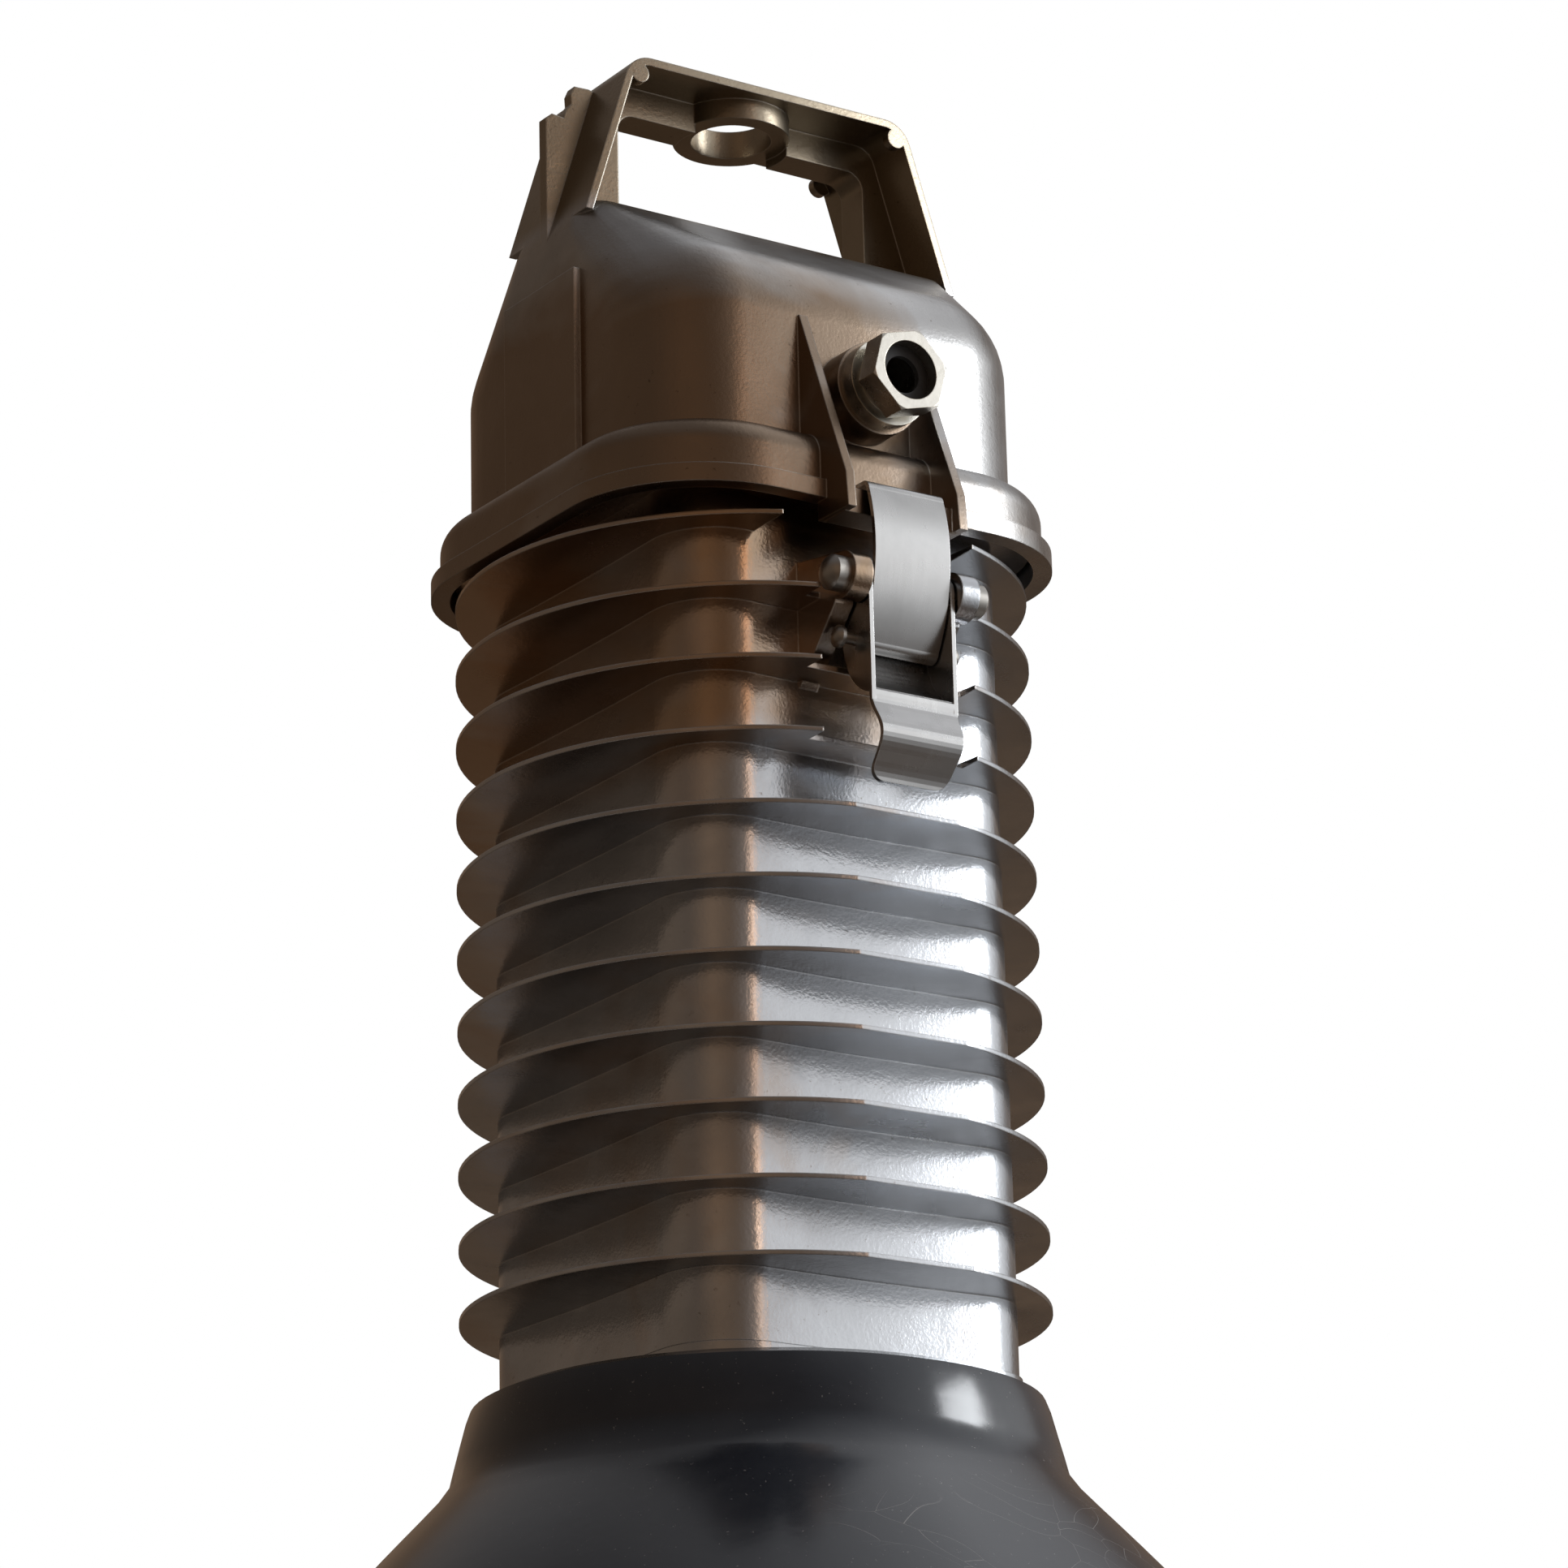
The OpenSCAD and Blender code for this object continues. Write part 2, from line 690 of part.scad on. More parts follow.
// One cheek of the lever: both pins pass through it
module cheek_section() {
    boss = 4.6;
    head = 6.5;
    difference() {
        union() {
            translate([y_lever + head, z_pivot]) circle(head);
            translate([y_strap, z_strap]) circle(boss);
            polygon(concat(
                [[y_lever, z_pivot], [y_lever, tab_top - 2], [y_lever + 1.2, tab_top - 2]],
                [for (i = [0 : web_steps]) web_at(i / web_steps)],
                [[y_lever + 2 * head, z_pivot]]));
        }
        translate([-pivot_y, z_pivot]) circle(d = pivot_d + 2 * run);
        translate([y_strap, z_strap]) circle(d = strap_pin_d);
    }
}

// The tab from the front: a little narrower at its round-cornered end
module tab_outline(half) {
    end = half - 1.8;
    low = tab_top - tab_l;
    polygon([[-half, z_web], [-end, low + tab_r], [-end + tab_r, low], [end - tab_r, low],
        [end, low + tab_r], [half, z_web]]);
    for (x = [-1, 1]) {
        translate([x * (end - tab_r), low + tab_r]) circle(tab_r);
    }
}

module latch_lever() {
    w = 2 * (cheek_x + sheet_t);
    color("whitesmoke") {
        for (s = [-1, 1]) {
            translate([s * (cheek_x + sheet_t / 2), 0, 0]) along_x(sheet_t) cheek_section();
        }
        along_x(w) web_section();
        intersection() {
            along_x(w) tab_section();
            rotate([90, 0, 0]) linear_extrude(200) tab_outline(w / 2);
        }
    }
}

// The strap: a rolled eye on its pin, a bowed leaf and a lip over the catch
z_lip = z_catch + catch_gap;
bend_r = 3;
z_bend = z_lip + sheet_t - bend_r;
y_bend = strap_mid_y - sqrt(pow(strap_r, 2) - pow(z_bend - strap_mid_z, 2)) + bend_r + eps;

module latch_strap() {
    color("whitesmoke") along_x(strap_w) difference() {
        union() {
            translate([y_strap, z_strap]) circle(eye_r);
            intersection() {
                difference() {
                    translate([strap_mid_y, strap_mid_z]) circle(strap_r, $fn = 360);
                    translate([strap_mid_y, strap_mid_z]) circle(strap_r - sheet_t, $fn = 360);
                }
                translate([-120, z_strap - eye_r / 2]) square([60, z_bend + 0.2 - z_strap + eye_r / 2]);
            }
            intersection() {
                translate([y_bend, z_bend]) difference() {
                    circle(bend_r);
                    circle(bend_r - sheet_t);
                }
                translate([y_bend - bend_r, z_bend]) square(bend_r + eps);
            }
            translate([y_bend, z_lip]) square([y_catch + 4 - y_bend, sheet_t]);
        }
        translate([y_strap, z_strap]) circle(eye_r - sheet_t);
    }
}

// ---------- control gear ----------

y_tray = core_d / 2 - core_wall - 11;
tray_low = z_floor + 4;
gear_face = y_tray - tray_t;

module gear_tray() {
    color("lightgray") difference() {
        union() {
            translate([-tray_w / 2, gear_face, tray_low]) cube([tray_w, tray_t, tray_h]);
            translate([-tray_w / 2, gear_face - 10, tray_low + tray_h - tray_t])
                cube([tray_w, 10 + eps, tray_t]);
        }
        for (x = [-1, 1], z = [z_floor + 12, z_floor + tray_h - 6]) {
            translate([x * (tray_w / 2 - 8), y_tray + 1, z]) rotate([90, 0, 0])
                cylinder(d = 4.4, h = tray_t + 2);
        }
    }
}

module tray_screws() {
    color("gold") for (x = [-1, 1], z = [z_floor + 12, z_floor + tray_h - 6]) {
        translate([x * (tray_w / 2 - 8), gear_face, z]) rotate([90, 0, 0]) domed_head(8, 2.6);
    }
}

ballast_x = -14.5;
ballast_low = z_floor + 28;

module ballast_core() {
    color("darkslategray") translate([ballast_x - ballast_w / 2, gear_face - base_t - ballast_d, ballast_low])
        cube([ballast_w, ballast_d, ballast_h]);
}

module ballast_winding() {
    coil = 9;
    color("peru") for (z = [ballast_low - coil, ballast_low + ballast_h]) {
        translate([ballast_x, gear_face - base_t - ballast_d / 2, z]) linear_extrude(coil)
            rounded_rect(ballast_w - 18, ballast_d - 24, 8);
    }
}

// Steel plate between core and tray, with four fixing ears
base_t = 3;
base_ear = 11;

module ballast_base() {
    color("lightgray") difference() {
        translate([ballast_x - ballast_w / 2, gear_face - base_t, ballast_low - base_ear])
            cube([ballast_w, base_t, ballast_h + 2 * base_ear]);
        for (x = [-1, 1], z = [ballast_low - base_ear / 2, ballast_low + ballast_h + base_ear / 2]) {
            translate([ballast_x + x * (ballast_w / 2 - 5), gear_face + 1, z]) rotate([90, 0, 0])
                cylinder(d = 4.4, h = base_t + 2);
        }
    }
}

module ballast_screws() {
    color("gold") for (x = [-1, 1], z = [ballast_low - base_ear / 2, ballast_low + ballast_h + base_ear / 2]) {
        translate([ballast_x + x * (ballast_w / 2 - 5), gear_face - base_t, z]) rotate([90, 0, 0]) {
            domed_head(7.5, 2.4);
            translate([0, 0, -base_t]) cylinder(d = 4, h = base_t + eps);
        }
    }
}

capacitor_x = 36;
capacitor_low = z_floor + 8;
capacitor_gap = 3.4;
capacitor_y = gear_face - capacitor_gap - capacitor_d / 2;

module capacitor() {
    color("lightgray") translate([capacitor_x, capacitor_y, capacitor_low]) {
        cylinder(d = capacitor_d, h = capacitor_h);
        translate([0, 0, capacitor_h]) cylinder(d = capacitor_d - 8, h = 2);
        for (x = [-1, 1]) {
            translate([x * 6 - 3, -0.4, capacitor_h]) cube([6, 0.8, 10]);
        }
    }
}

module capacitor_clip() {
    clip_t = 1.2;
    color("lightgray") translate([capacitor_x, capacitor_y, capacitor_low + capacitor_h / 2]) {
        linear_extrude(12) {
            difference() {
                circle(d = capacitor_d + 2 * clip_t);
                circle(d = capacitor_d);
            }
            translate([-6, capacitor_d / 2 + clip_t / 2]) square([12, capacitor_gap - clip_t / 2]);
        }
    }
}

module ignitor() {
    color("dimgray") translate([18, gear_face - 27, z_floor + 103]) {
        cube([32, 27, 38]);
        translate([4, 6, 38]) cube([24, 14, 4]);
    }
}

terminal_z = ballast_low + ballast_h + base_ear + 9;

module terminal_block() {
    color("ivory") difference() {
        translate([-44, gear_face - 20, terminal_z - 8]) cube([52, 20, 16]);
        for (i = [0 : 3]) {
            translate([-38 + i * 13, gear_face - 21, terminal_z]) rotate([-90, 0, 0])
                cylinder(d = 7, h = 5);
        }
    }
}

module terminal_screws() {
    color("gold") for (i = [0 : 3]) {
        translate([-38 + i * 13, gear_face - 16, terminal_z]) rotate([90, 0, 0]) cylinder(d = 5, h = 2);
    }
}

// ---------- lampholder and lamp ----------

z_bracket = z_floor - floor_t;
bracket_t = 2;
bracket_w = 36;
bracket_h = 9;
z_holder = z_bracket - bracket_h;
z_mouth = z_holder - holder_l;
shell_d = cap_d + 0.8;
shell_t = 0.6;
z_cap_top = z_holder - 16;
foot_x = 33;
holder_screw_x = 14;

// A bridge that stands on two feet below the floor
module holder_bracket() {
    leg = 27;
    color("lightgray") difference() {
        along_y(bracket_w) {
            translate([-leg, z_holder]) square([2 * leg, bracket_t]);
            for (x = [-1, 1]) {
                translate([x * (leg - bracket_t / 2) - bracket_t / 2, z_holder]) square([bracket_t, bracket_h]);
                translate([x * (foot_x - 0.5) - 7, z_bracket - bracket_t]) square([14, bracket_t]);
            }
        }
        for (x = [-1, 1]) {
            translate([x * foot_x, 0, z_bracket - bracket_t - 1]) cylinder(d = 4.4, h = bracket_t + 2);
            translate([x * holder_screw_x, 0, z_holder - 1]) cylinder(d = 4.4, h = bracket_t + 2);
        }
    }
}

module bracket_screws() {
    color("gold") for (x = [-1, 1]) {
        translate([x * foot_x, 0, z_bracket - bracket_t]) mirror([0, 0, 1]) domed_head(7.5, 2.4);
    }
}

module lampholder() {
    color("ivory") difference() {
        union() {
            translate([0, 0, z_mouth]) cylinder(d = holder_d - 6, h = holder_l);
            translate([0, 0, z_mouth]) cylinder(d = holder_d, h = holder_l * 0.6);
            translate([0, 0, z_mouth + holder_l * 0.6]) cylinder(d1 = holder_d, d2 = holder_d - 6, h = 5);
        }
        translate([0, 0, z_mouth - 1]) cylinder(d = shell_d + 2 * shell_t + 2 * run, h = holder_l - 11);
        for (x = [-1, 1]) {
            translate([x * holder_screw_x, 0, z_holder - 6]) cylinder(d = 4.2, h = 7);
        }
    }
}

module holder_shell() {
    color("goldenrod") translate([0, 0, z_mouth + 6]) difference() {
        cylinder(d = shell_d + 2 * shell_t, h = holder_l - 18);
        translate([0, 0, -1]) cylinder(d = shell_d, h = holder_l);
    }
}

module holder_contact() {
    color("goldenrod") {
        translate([0, 0, z_holder - 12 - 1.2]) cylinder(d = 16, h = 1.2);
        translate([0, 0, z_cap_top]) cylinder(d = 8, h = z_holder - 12 - z_cap_top);
    }
}

module holder_screws() {
    color("gold") for (x = [-1, 1]) {
        translate([x * holder_screw_x, 0, z_holder - 5]) cylinder(d = 3.9, h = 5 + bracket_t + eps);
        translate([x * holder_screw_x, 0, z_holder + bracket_t]) domed_head(7.5, 2.4);
    }
}

z_cap_low = z_cap_top - cap_l;

module lamp_cap() {
    color("silver") {
        translate([0, 0, z_cap_low]) cylinder(d = cap_d, h = cap_l - 6);
        translate([0, 0, z_cap_low + cap_l - 6]) cylinder(d1 = cap_d, d2 = 18, h = 5);
        translate([0, 0, z_cap_low + cap_l - 1]) cylinder(d = 12, h = 1);
    }
}

// The bulb's outline: a slim neck that swells to an ellipse
bulb_steps = 26;
neck_r = cap_d / 2 - 1;
function bulb_r(t) = let (swell = sin(90 * min(1, t / 0.55)), close = max(0, (t - 0.55) / 0.45))
    (neck_r + (bulb_d / 2 - neck_r) * pow(swell, 2)) * sqrt(max(0, 1 - close * close));

module lamp_bulb() {
    color("white") translate([0, 0, z_cap_low]) rotate_extrude() polygon(concat(
        [[0, 0]],
        [for (i = [0 : bulb_steps]) [max(0.01, bulb_r(i / bulb_steps)), -bulb_l * i / bulb_steps]],
        [[0, -bulb_l]]));
}

// ---------- reflector ----------

z_neck = z_core_end - neck_h;
bell_steps = 34;
// The curve eases in over the first part of the bell, then flares
ease = 0.03;
function flare(t) = 1 - pow(1 - t, bell_power);
function bell_share(t) = t < 2 * ease ? bell_power * t * t / (4 * ease) : flare(t) - bell_power * ease;
function bell_r(t) = neck_d / 2 + (mouth_d - neck_d) / 2 * bell_share(t) / (1 - bell_power * ease);

module reflector_profile() {
    edge = 6;
    plate_in = plate_hole_d / 2;
    top_r = shoulder_d / 2;
    polygon(concat(
        [[plate_in, z_core_end], [top_r - edge, z_core_end], [top_r - 1.5, z_core_end - 2],
            [top_r, z_core_end - edge]],
        [for (i = [0 : bell_steps]) [bell_r(i / bell_steps), z_neck - bell_h * i / bell_steps]],
        [for (i = [bell_steps : -1 : 0]) [bell_r(i / bell_steps) - bell_t, z_neck - bell_h * i / bell_steps]],
        [[top_r - bell_t, z_core_end - edge], [top_r - 1.5 - bell_t, z_core_end - 2.8],
            [top_r - edge - bell_t, z_core_end - bell_t], [plate_in, z_core_end - bell_t]]));
}

module reflector() {
    color("#1b1d22") difference() {
        union() {
            rotate_extrude() reflector_profile();
            translate([0, 0, z_neck - bell_h]) rotate_extrude()
                translate([mouth_d / 2 - bell_t / 2, 0]) circle(d = bead_d, $fn = 24);
        }
        for (x = [-1, 1], y = [-1, 1]) {
            translate([x * screw_x, y * screw_y, z_core_end - 5]) cylinder(d = 4.6, h = 8);
        }
    }
}

module reflector_screws() {
    color("silver") for (x = [-1, 1], y = [-1, 1]) {
        translate([x * screw_x, y * screw_y, z_core_end - bell_t]) {
            mirror([0, 0, 1]) domed_head(9, 3);
            translate([0, 0, -eps]) cylinder(d = 4, h = 12);
        }
    }
}

cover();
cover_gasket();
gland_body();
gland_seal();
gland_nut();
housing();
hinge_pin();
latch_pivot_pin();
latch_lever();
latch_strap();
strap_pin();
gear_tray();
tray_screws();
ballast_core();
ballast_winding();
ballast_base();
ballast_screws();
capacitor();
capacitor_clip();
ignitor();
terminal_block();
terminal_screws();
holder_bracket();
bracket_screws();
lampholder();
holder_shell();
holder_contact();
holder_screws();
lamp_cap();
lamp_bulb();
reflector();
reflector_screws();
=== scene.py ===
# %% [markdown]
# # High bay pendant luminaire
# A cast aluminium cover hangs from its bail. Under it a finned housing with the control gear swings
# on a hinge, and a black enamelled reflector is screwed to the housing. The solids come ready from
# the CAD model. This lesson gives them their finishes, smooths what is smooth on the real pieces,
# and lights the whole.

# %% Load the solid model
import json
import math

import bmesh
import bpy
from mathutils import Matrix, Vector

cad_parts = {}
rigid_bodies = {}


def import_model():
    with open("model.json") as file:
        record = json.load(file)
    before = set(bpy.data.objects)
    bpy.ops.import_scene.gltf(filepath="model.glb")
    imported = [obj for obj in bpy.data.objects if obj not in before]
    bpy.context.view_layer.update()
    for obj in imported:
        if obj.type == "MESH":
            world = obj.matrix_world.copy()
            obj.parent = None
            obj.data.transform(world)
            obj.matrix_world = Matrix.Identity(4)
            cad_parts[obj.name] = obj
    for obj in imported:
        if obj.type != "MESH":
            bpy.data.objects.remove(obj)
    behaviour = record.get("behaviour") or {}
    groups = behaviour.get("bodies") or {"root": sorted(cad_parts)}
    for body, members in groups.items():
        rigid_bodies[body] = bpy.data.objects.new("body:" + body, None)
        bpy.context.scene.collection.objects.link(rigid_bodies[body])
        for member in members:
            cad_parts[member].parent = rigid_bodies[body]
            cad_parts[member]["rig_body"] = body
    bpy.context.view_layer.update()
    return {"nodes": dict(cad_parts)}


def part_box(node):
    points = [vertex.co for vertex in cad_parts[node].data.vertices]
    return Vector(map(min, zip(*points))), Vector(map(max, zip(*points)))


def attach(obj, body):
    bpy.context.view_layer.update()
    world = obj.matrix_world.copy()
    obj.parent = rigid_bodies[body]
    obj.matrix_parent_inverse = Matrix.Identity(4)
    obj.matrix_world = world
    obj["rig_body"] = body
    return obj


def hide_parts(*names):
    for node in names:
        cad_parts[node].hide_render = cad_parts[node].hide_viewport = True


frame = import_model()
nodes = frame["nodes"]
print("solids loaded:", len(nodes))

# %% [markdown]
# ## The camera
# The lamp hangs above the eye, so the camera looks up at it by about eighteen degrees from its
# front left. A long lens keeps the fins nearly parallel. The camera's three axes are worked out
# from those angles. It stands back from a point near the lamp's axis, then slides a little to the
# right and down.

# %% Place the camera
TURN = math.radians(-34.0)
TILT = math.radians(-18.18)
ROLL = math.radians(-1.354)
STAND_OFF = 1.84425
AIM = Vector((0.0, 0.002, -0.16675))
SLIDE_RIGHT = 0.01469
SLIDE_UP = -0.0535
SENSOR_WIDTH = 36.0
LENS = 134.16
FAR_LIMIT = 50.0

back = Vector((math.sin(TURN) * math.cos(TILT), -math.cos(TURN) * math.cos(TILT),
               math.sin(TILT)))
level = Vector((math.cos(TURN), math.sin(TURN), 0.0))
upward = back.cross(level)
right = level * math.cos(ROLL) + upward * math.sin(ROLL)
up = upward * math.cos(ROLL) - level * math.sin(ROLL)
eye = AIM + back * STAND_OFF + right * SLIDE_RIGHT + up * SLIDE_UP

camera_data = bpy.data.cameras.new("camera")
camera_data.sensor_fit = "HORIZONTAL"
camera_data.sensor_width = SENSOR_WIDTH
camera_data.lens = LENS
camera_data.clip_end = FAR_LIMIT
camera = bpy.data.objects.new("camera", camera_data)
camera.matrix_world = Matrix(((right.x, up.x, back.x, eye.x),
                              (right.y, up.y, back.y, eye.y),
                              (right.z, up.z, back.z, eye.z),
                              (0.0, 0.0, 0.0, 1.0)))
bpy.context.scene.collection.objects.link(camera)
bpy.context.scene.camera = camera
print("camera stands at", [round(v, 3) for v in eye])

# %% [markdown]
# ## Helpers for finishes
# A finish is a small tree of shader nodes. Every pattern here starts from the Object coordinates,
# which are metres on these solids, so a scale of 1000 means details about a millimetre wide. The
# helpers below only save typing: each adds one kind of node, links what goes in, and returns what
# comes out.

# %% Helpers for nodes and coordinates
def new_finish(name):
    """An empty finish: returns the material, its node tree and its shader."""
    finish = bpy.data.materials.new(name)
    finish.use_nodes = True
    tree = finish.node_tree
    return finish, tree, tree.nodes["Principled BSDF"]


def place(tree, kind, **settings):
    """Adds one node and sets its properties."""
    made = tree.nodes.new(kind)
    for key, value in settings.items():
        setattr(made, key, value)
    return made


def object_point(tree, stretch=(1.0, 1.0, 1.0)):
    """Object coordinates, stretched along the axes."""
    where = place(tree, "ShaderNodeTexCoord")
    turned = place(tree, "ShaderNodeMapping")
    turned.inputs["Scale"].default_value = stretch
    tree.links.new(where.outputs["Object"], turned.inputs["Vector"])
    return turned.outputs["Vector"]


def along_axes(tree, point):
    """The three numbers of a point: its X, Y and Z."""
    made = place(tree, "ShaderNodeSeparateXYZ")
    tree.links.new(point, made.inputs[0])
    return made.outputs["X"], made.outputs["Y"], made.outputs["Z"]


print("coordinate helpers ready")

# %% [markdown]
# Noise gives most of the patterns. It is seldom used as it is: a part of its range is stretched to
# a share from 0 to 1, and the share then mixes two colours or two roughnesses. So these helpers
# mostly follow one another in that order.

# %% Helpers for numbers and colours
def noise(tree, point, scale, detail=3.0, rough=0.55, warp=0.0):
    """Soft noise with features about one over scale metres wide."""
    made = place(tree, "ShaderNodeTexNoise")
    made.inputs["Scale"].default_value = scale
    made.inputs["Detail"].default_value = detail
    made.inputs["Roughness"].default_value = rough
    made.inputs["Distortion"].default_value = warp
    tree.links.new(point, made.inputs["Vector"])
    return made.outputs["Fac"]


def span(tree, value, low, high, to_low=0.0, to_high=1.0):
    """Maps low..high onto to_low..to_high, and holds it there."""
    made = place(tree, "ShaderNodeMapRange")
    made.inputs["From Min"].default_value = low
    made.inputs["From Max"].default_value = high
    made.inputs["To Min"].default_value = to_low
    made.inputs["To Max"].default_value = to_high
    tree.links.new(value, made.inputs["Value"])
    return made.outputs["Result"]


def combine(tree, kind, first, second):
    """Combines two values, by ADD for example; either may be a plain number."""
    made = place(tree, "ShaderNodeMath", operation=kind)
    for socket, value in zip(made.inputs, (first, second)):
        if isinstance(value, (int, float)):
            socket.default_value = value
        else:
            tree.links.new(value, socket)
    return made.outputs[0]


def blend_colours(tree, share, first, second):
    """Mixes two colours, each a link or three numbers, by a share from 0 to 1."""
    made = place(tree, "ShaderNodeMix", data_type="RGBA")
    tree.links.new(share, made.inputs["Factor"])
    sockets = [s for s in made.inputs if s.type == "RGBA"]
    for socket, value in zip(sockets, (first, second)):
        if isinstance(value, tuple):
            socket.default_value = (*value, 1.0)
        else:
            tree.links.new(value, socket)
    return [s for s in made.outputs if s.type == "RGBA"][0]


def darker(colour, share):
    """The same colour with that share of its light."""
    return tuple(share * c for c in colour)


print("number and colour helpers ready")

# %% [markdown]
# A surface also has relief that is too fine for its mesh. Bump nodes are chained for that, each
# with a depth in metres. A Bevel node bends the normal close to an edge, as if the edge were
# rounded. How far it is bent also tells where an edge is, and edges are where hands and cloths rub.

# %% Helpers for relief and edges
EDGE_SAMPLES = 4
EDGE_BEND = (0.02, 0.2)


def bumps(tree, shader, *layers, base=None):
    """Chains bump layers, each (height, strength, depth in metres), into the shader's normal."""
    last = base
    for height, strength, depth in layers:
        made = place(tree, "ShaderNodeBump")
        made.inputs["Strength"].default_value = strength
        made.inputs["Distance"].default_value = depth
        tree.links.new(height, made.inputs["Height"])
        if last is not None:
            tree.links.new(last, made.inputs["Normal"])
        last = made.outputs["Normal"]
    tree.links.new(last, shader.inputs["Normal"])


def worn_edges(tree, radius):
    """A mask that is 1 along outer edges, and the rounded normal that goes with it."""
    rounded = place(tree, "ShaderNodeBevel", samples=EDGE_SAMPLES)
    rounded.inputs["Radius"].default_value = radius
    flat = place(tree, "ShaderNodeNewGeometry")
    along = place(tree, "ShaderNodeVectorMath", operation="DOT_PRODUCT")
    tree.links.new(rounded.outputs["Normal"], along.inputs[0])
    tree.links.new(flat.outputs["Normal"], along.inputs[1])
    bent = combine(tree, "SUBTRACT", 1.0, along.outputs["Value"])
    return span(tree, bent, *EDGE_BEND), rounded.outputs["Normal"]


print("relief helpers ready")

# %% [markdown]
# ## Raw die-cast aluminium
# The cover and the housing are bare pressure die castings that have hung in a hall for years. Such
# a skin is half a mirror: it has a soft shine with cloudy grey patches where it oxidised, brown
# smoky stains, a fine grain from the die, and brighter metal where edges were rubbed. The clouds
# are broad noise, the grain is fine noise as a bump, and the edges come from the Bevel node. The
# faces of a casting are also a little full, so each spreads its reflection instead of showing it
# flat. More of the same brown is added by height and by side as painted light: painted reflection
# and painted shade.

# %% Cast aluminium finish
CAST_CLOUDS = {"scale": 24.0, "detail": 5.0, "rough": 0.62, "warp": 0.4}
CAST_SMOKE = {"scale": 9.0, "detail": 4.0, "rough": 0.6, "warp": 0.8}
CAST_GRAIN = {"scale": 900.0, "detail": 2.0}
CAST_SPECKS = {"scale": 420.0, "detail": 3.0, "rough": 0.7}
CAST_EDGE = 0.0007
CLOUDED = (0.38, 0.66)
# Smoke clouds and painted light, by height and by side, turn brown over this cut.
SMOKE_AND_SHADE_CUT = (0.50, 0.78)
SPECKLED = (0.66, 0.74)
# At most this much brown, from stains, the film and painted light.
STAIN_AND_SHADE_SHARE = 0.85
SPECK_SHARE = 0.5
RUBBED_SHARE = 0.5
RUBBED_METAL = (0.72, 0.70, 0.66)
YELLOW_FILM = (0.31, 0.25, 0.17)
# Painted light: less brown towards the right, the lit side, so the left side looks shaded.
PAINTED_LIT_SIDE = {"low": -0.01, "high": 0.05, "to_low": 0.0, "to_high": -0.34}


def cast_aluminium(name, tint, stain_and_shade, roughness, fullness, painted_light_heights, filmed=None):
    """A bare casting of one tint, with brown stain over it in clouds.

    roughness: of the clean and of the clouded metal. fullness: how far flat faces bulge.
    smoked: two heights, and how much more of the brown there is at each, as in span. This brown is
    painted light: a painted warm reflection low on the cover's walls, and painted shade in the
    housing's upper cells.
    filmed: two heights; between them a yellow film comes in, which lies on all above.
    Heights are in metres from the middle of the hanging hole, and below it they are negative.
    """
    finish, tree, shader = new_finish(name)
    point = object_point(tree)
    x, _, z = along_axes(tree, point)
    clouds = noise(tree, point, **CAST_CLOUDS)
    grain = noise(tree, point, **CAST_GRAIN)
    specks = noise(tree, point, **CAST_SPECKS)
    edge, rounded = worn_edges(tree, CAST_EDGE)
    colour = blend_colours(tree, span(tree, clouds, *CLOUDED), tint, darker(tint, 0.80))
    # Painted light by height: a painted warm reflection low on the cover, painted shade in the
    # housing's upper cells.
    smoke_and_painted_light = combine(tree, "ADD", noise(tree, point, **CAST_SMOKE), span(tree, z, *painted_light_heights))
    # Painted shade by side: the left keeps more brown than the lit right side.
    smoke_and_painted_light = combine(tree, "ADD", smoke_and_painted_light, span(tree, x, **PAINTED_LIT_SIDE))
    colour = blend_colours(tree, span(tree, smoke_and_painted_light, *SMOKE_AND_SHADE_CUT, 0.0, STAIN_AND_SHADE_SHARE), colour, stain_and_shade)
    if filmed:
        colour = blend_colours(tree, span(tree, z, *filmed, 0.0, STAIN_AND_SHADE_SHARE), colour, YELLOW_FILM)
    colour = blend_colours(tree, span(tree, specks, *SPECKLED, 0.0, SPECK_SHARE), colour,
                           darker(stain_and_shade, 0.35))
    rubbed = combine(tree, "MULTIPLY", edge, RUBBED_SHARE)
    colour = blend_colours(tree, rubbed, colour, RUBBED_METAL)
    tree.links.new(colour, shader.inputs["Base Color"])
    shader.inputs["Metallic"].default_value = 1.0
    tree.links.new(span(tree, clouds, 0.35, 0.7, *roughness), shader.inputs["Roughness"])
    # Highest on the lamp's axis and falling away to both sides.
    crown = combine(tree, "MULTIPLY", combine(tree, "MULTIPLY", x, x), -1.0)
    bumps(tree, shader, (crown, 1.0, fullness), (clouds, 0.07, 0.004), (grain, 0.22, 0.00025),
          (specks, 0.08, 0.0003), base=rounded)
    return finish


print("clouds on a casting are about", round(1000 / CAST_CLOUDS["scale"]), "mm wide")

# %% [markdown]
# The cover is browner than the housing, and its bail has a yellow film. More brown is painted low
# on the cover's walls as a painted warm reflection, and on the housing's upper cells as painted
# shade. Both get less brown on the right, as painted light on the lit side. So both come from one
# function, and differ only in their colours and in the heights of this painted light.

# %% Finishes of the two castings
# Painted light on the cover: a painted warm reflection makes its walls browner low down.
cover_cast = cast_aluminium(
    "cover_cast", tint=(0.48, 0.475, 0.47), stain_and_shade=(0.26, 0.178, 0.112), roughness=(0.26, 0.40),
    fullness=1.6, painted_light_heights=(-0.098, -0.062, 0.34, -0.10), filmed=(-0.052, -0.045))
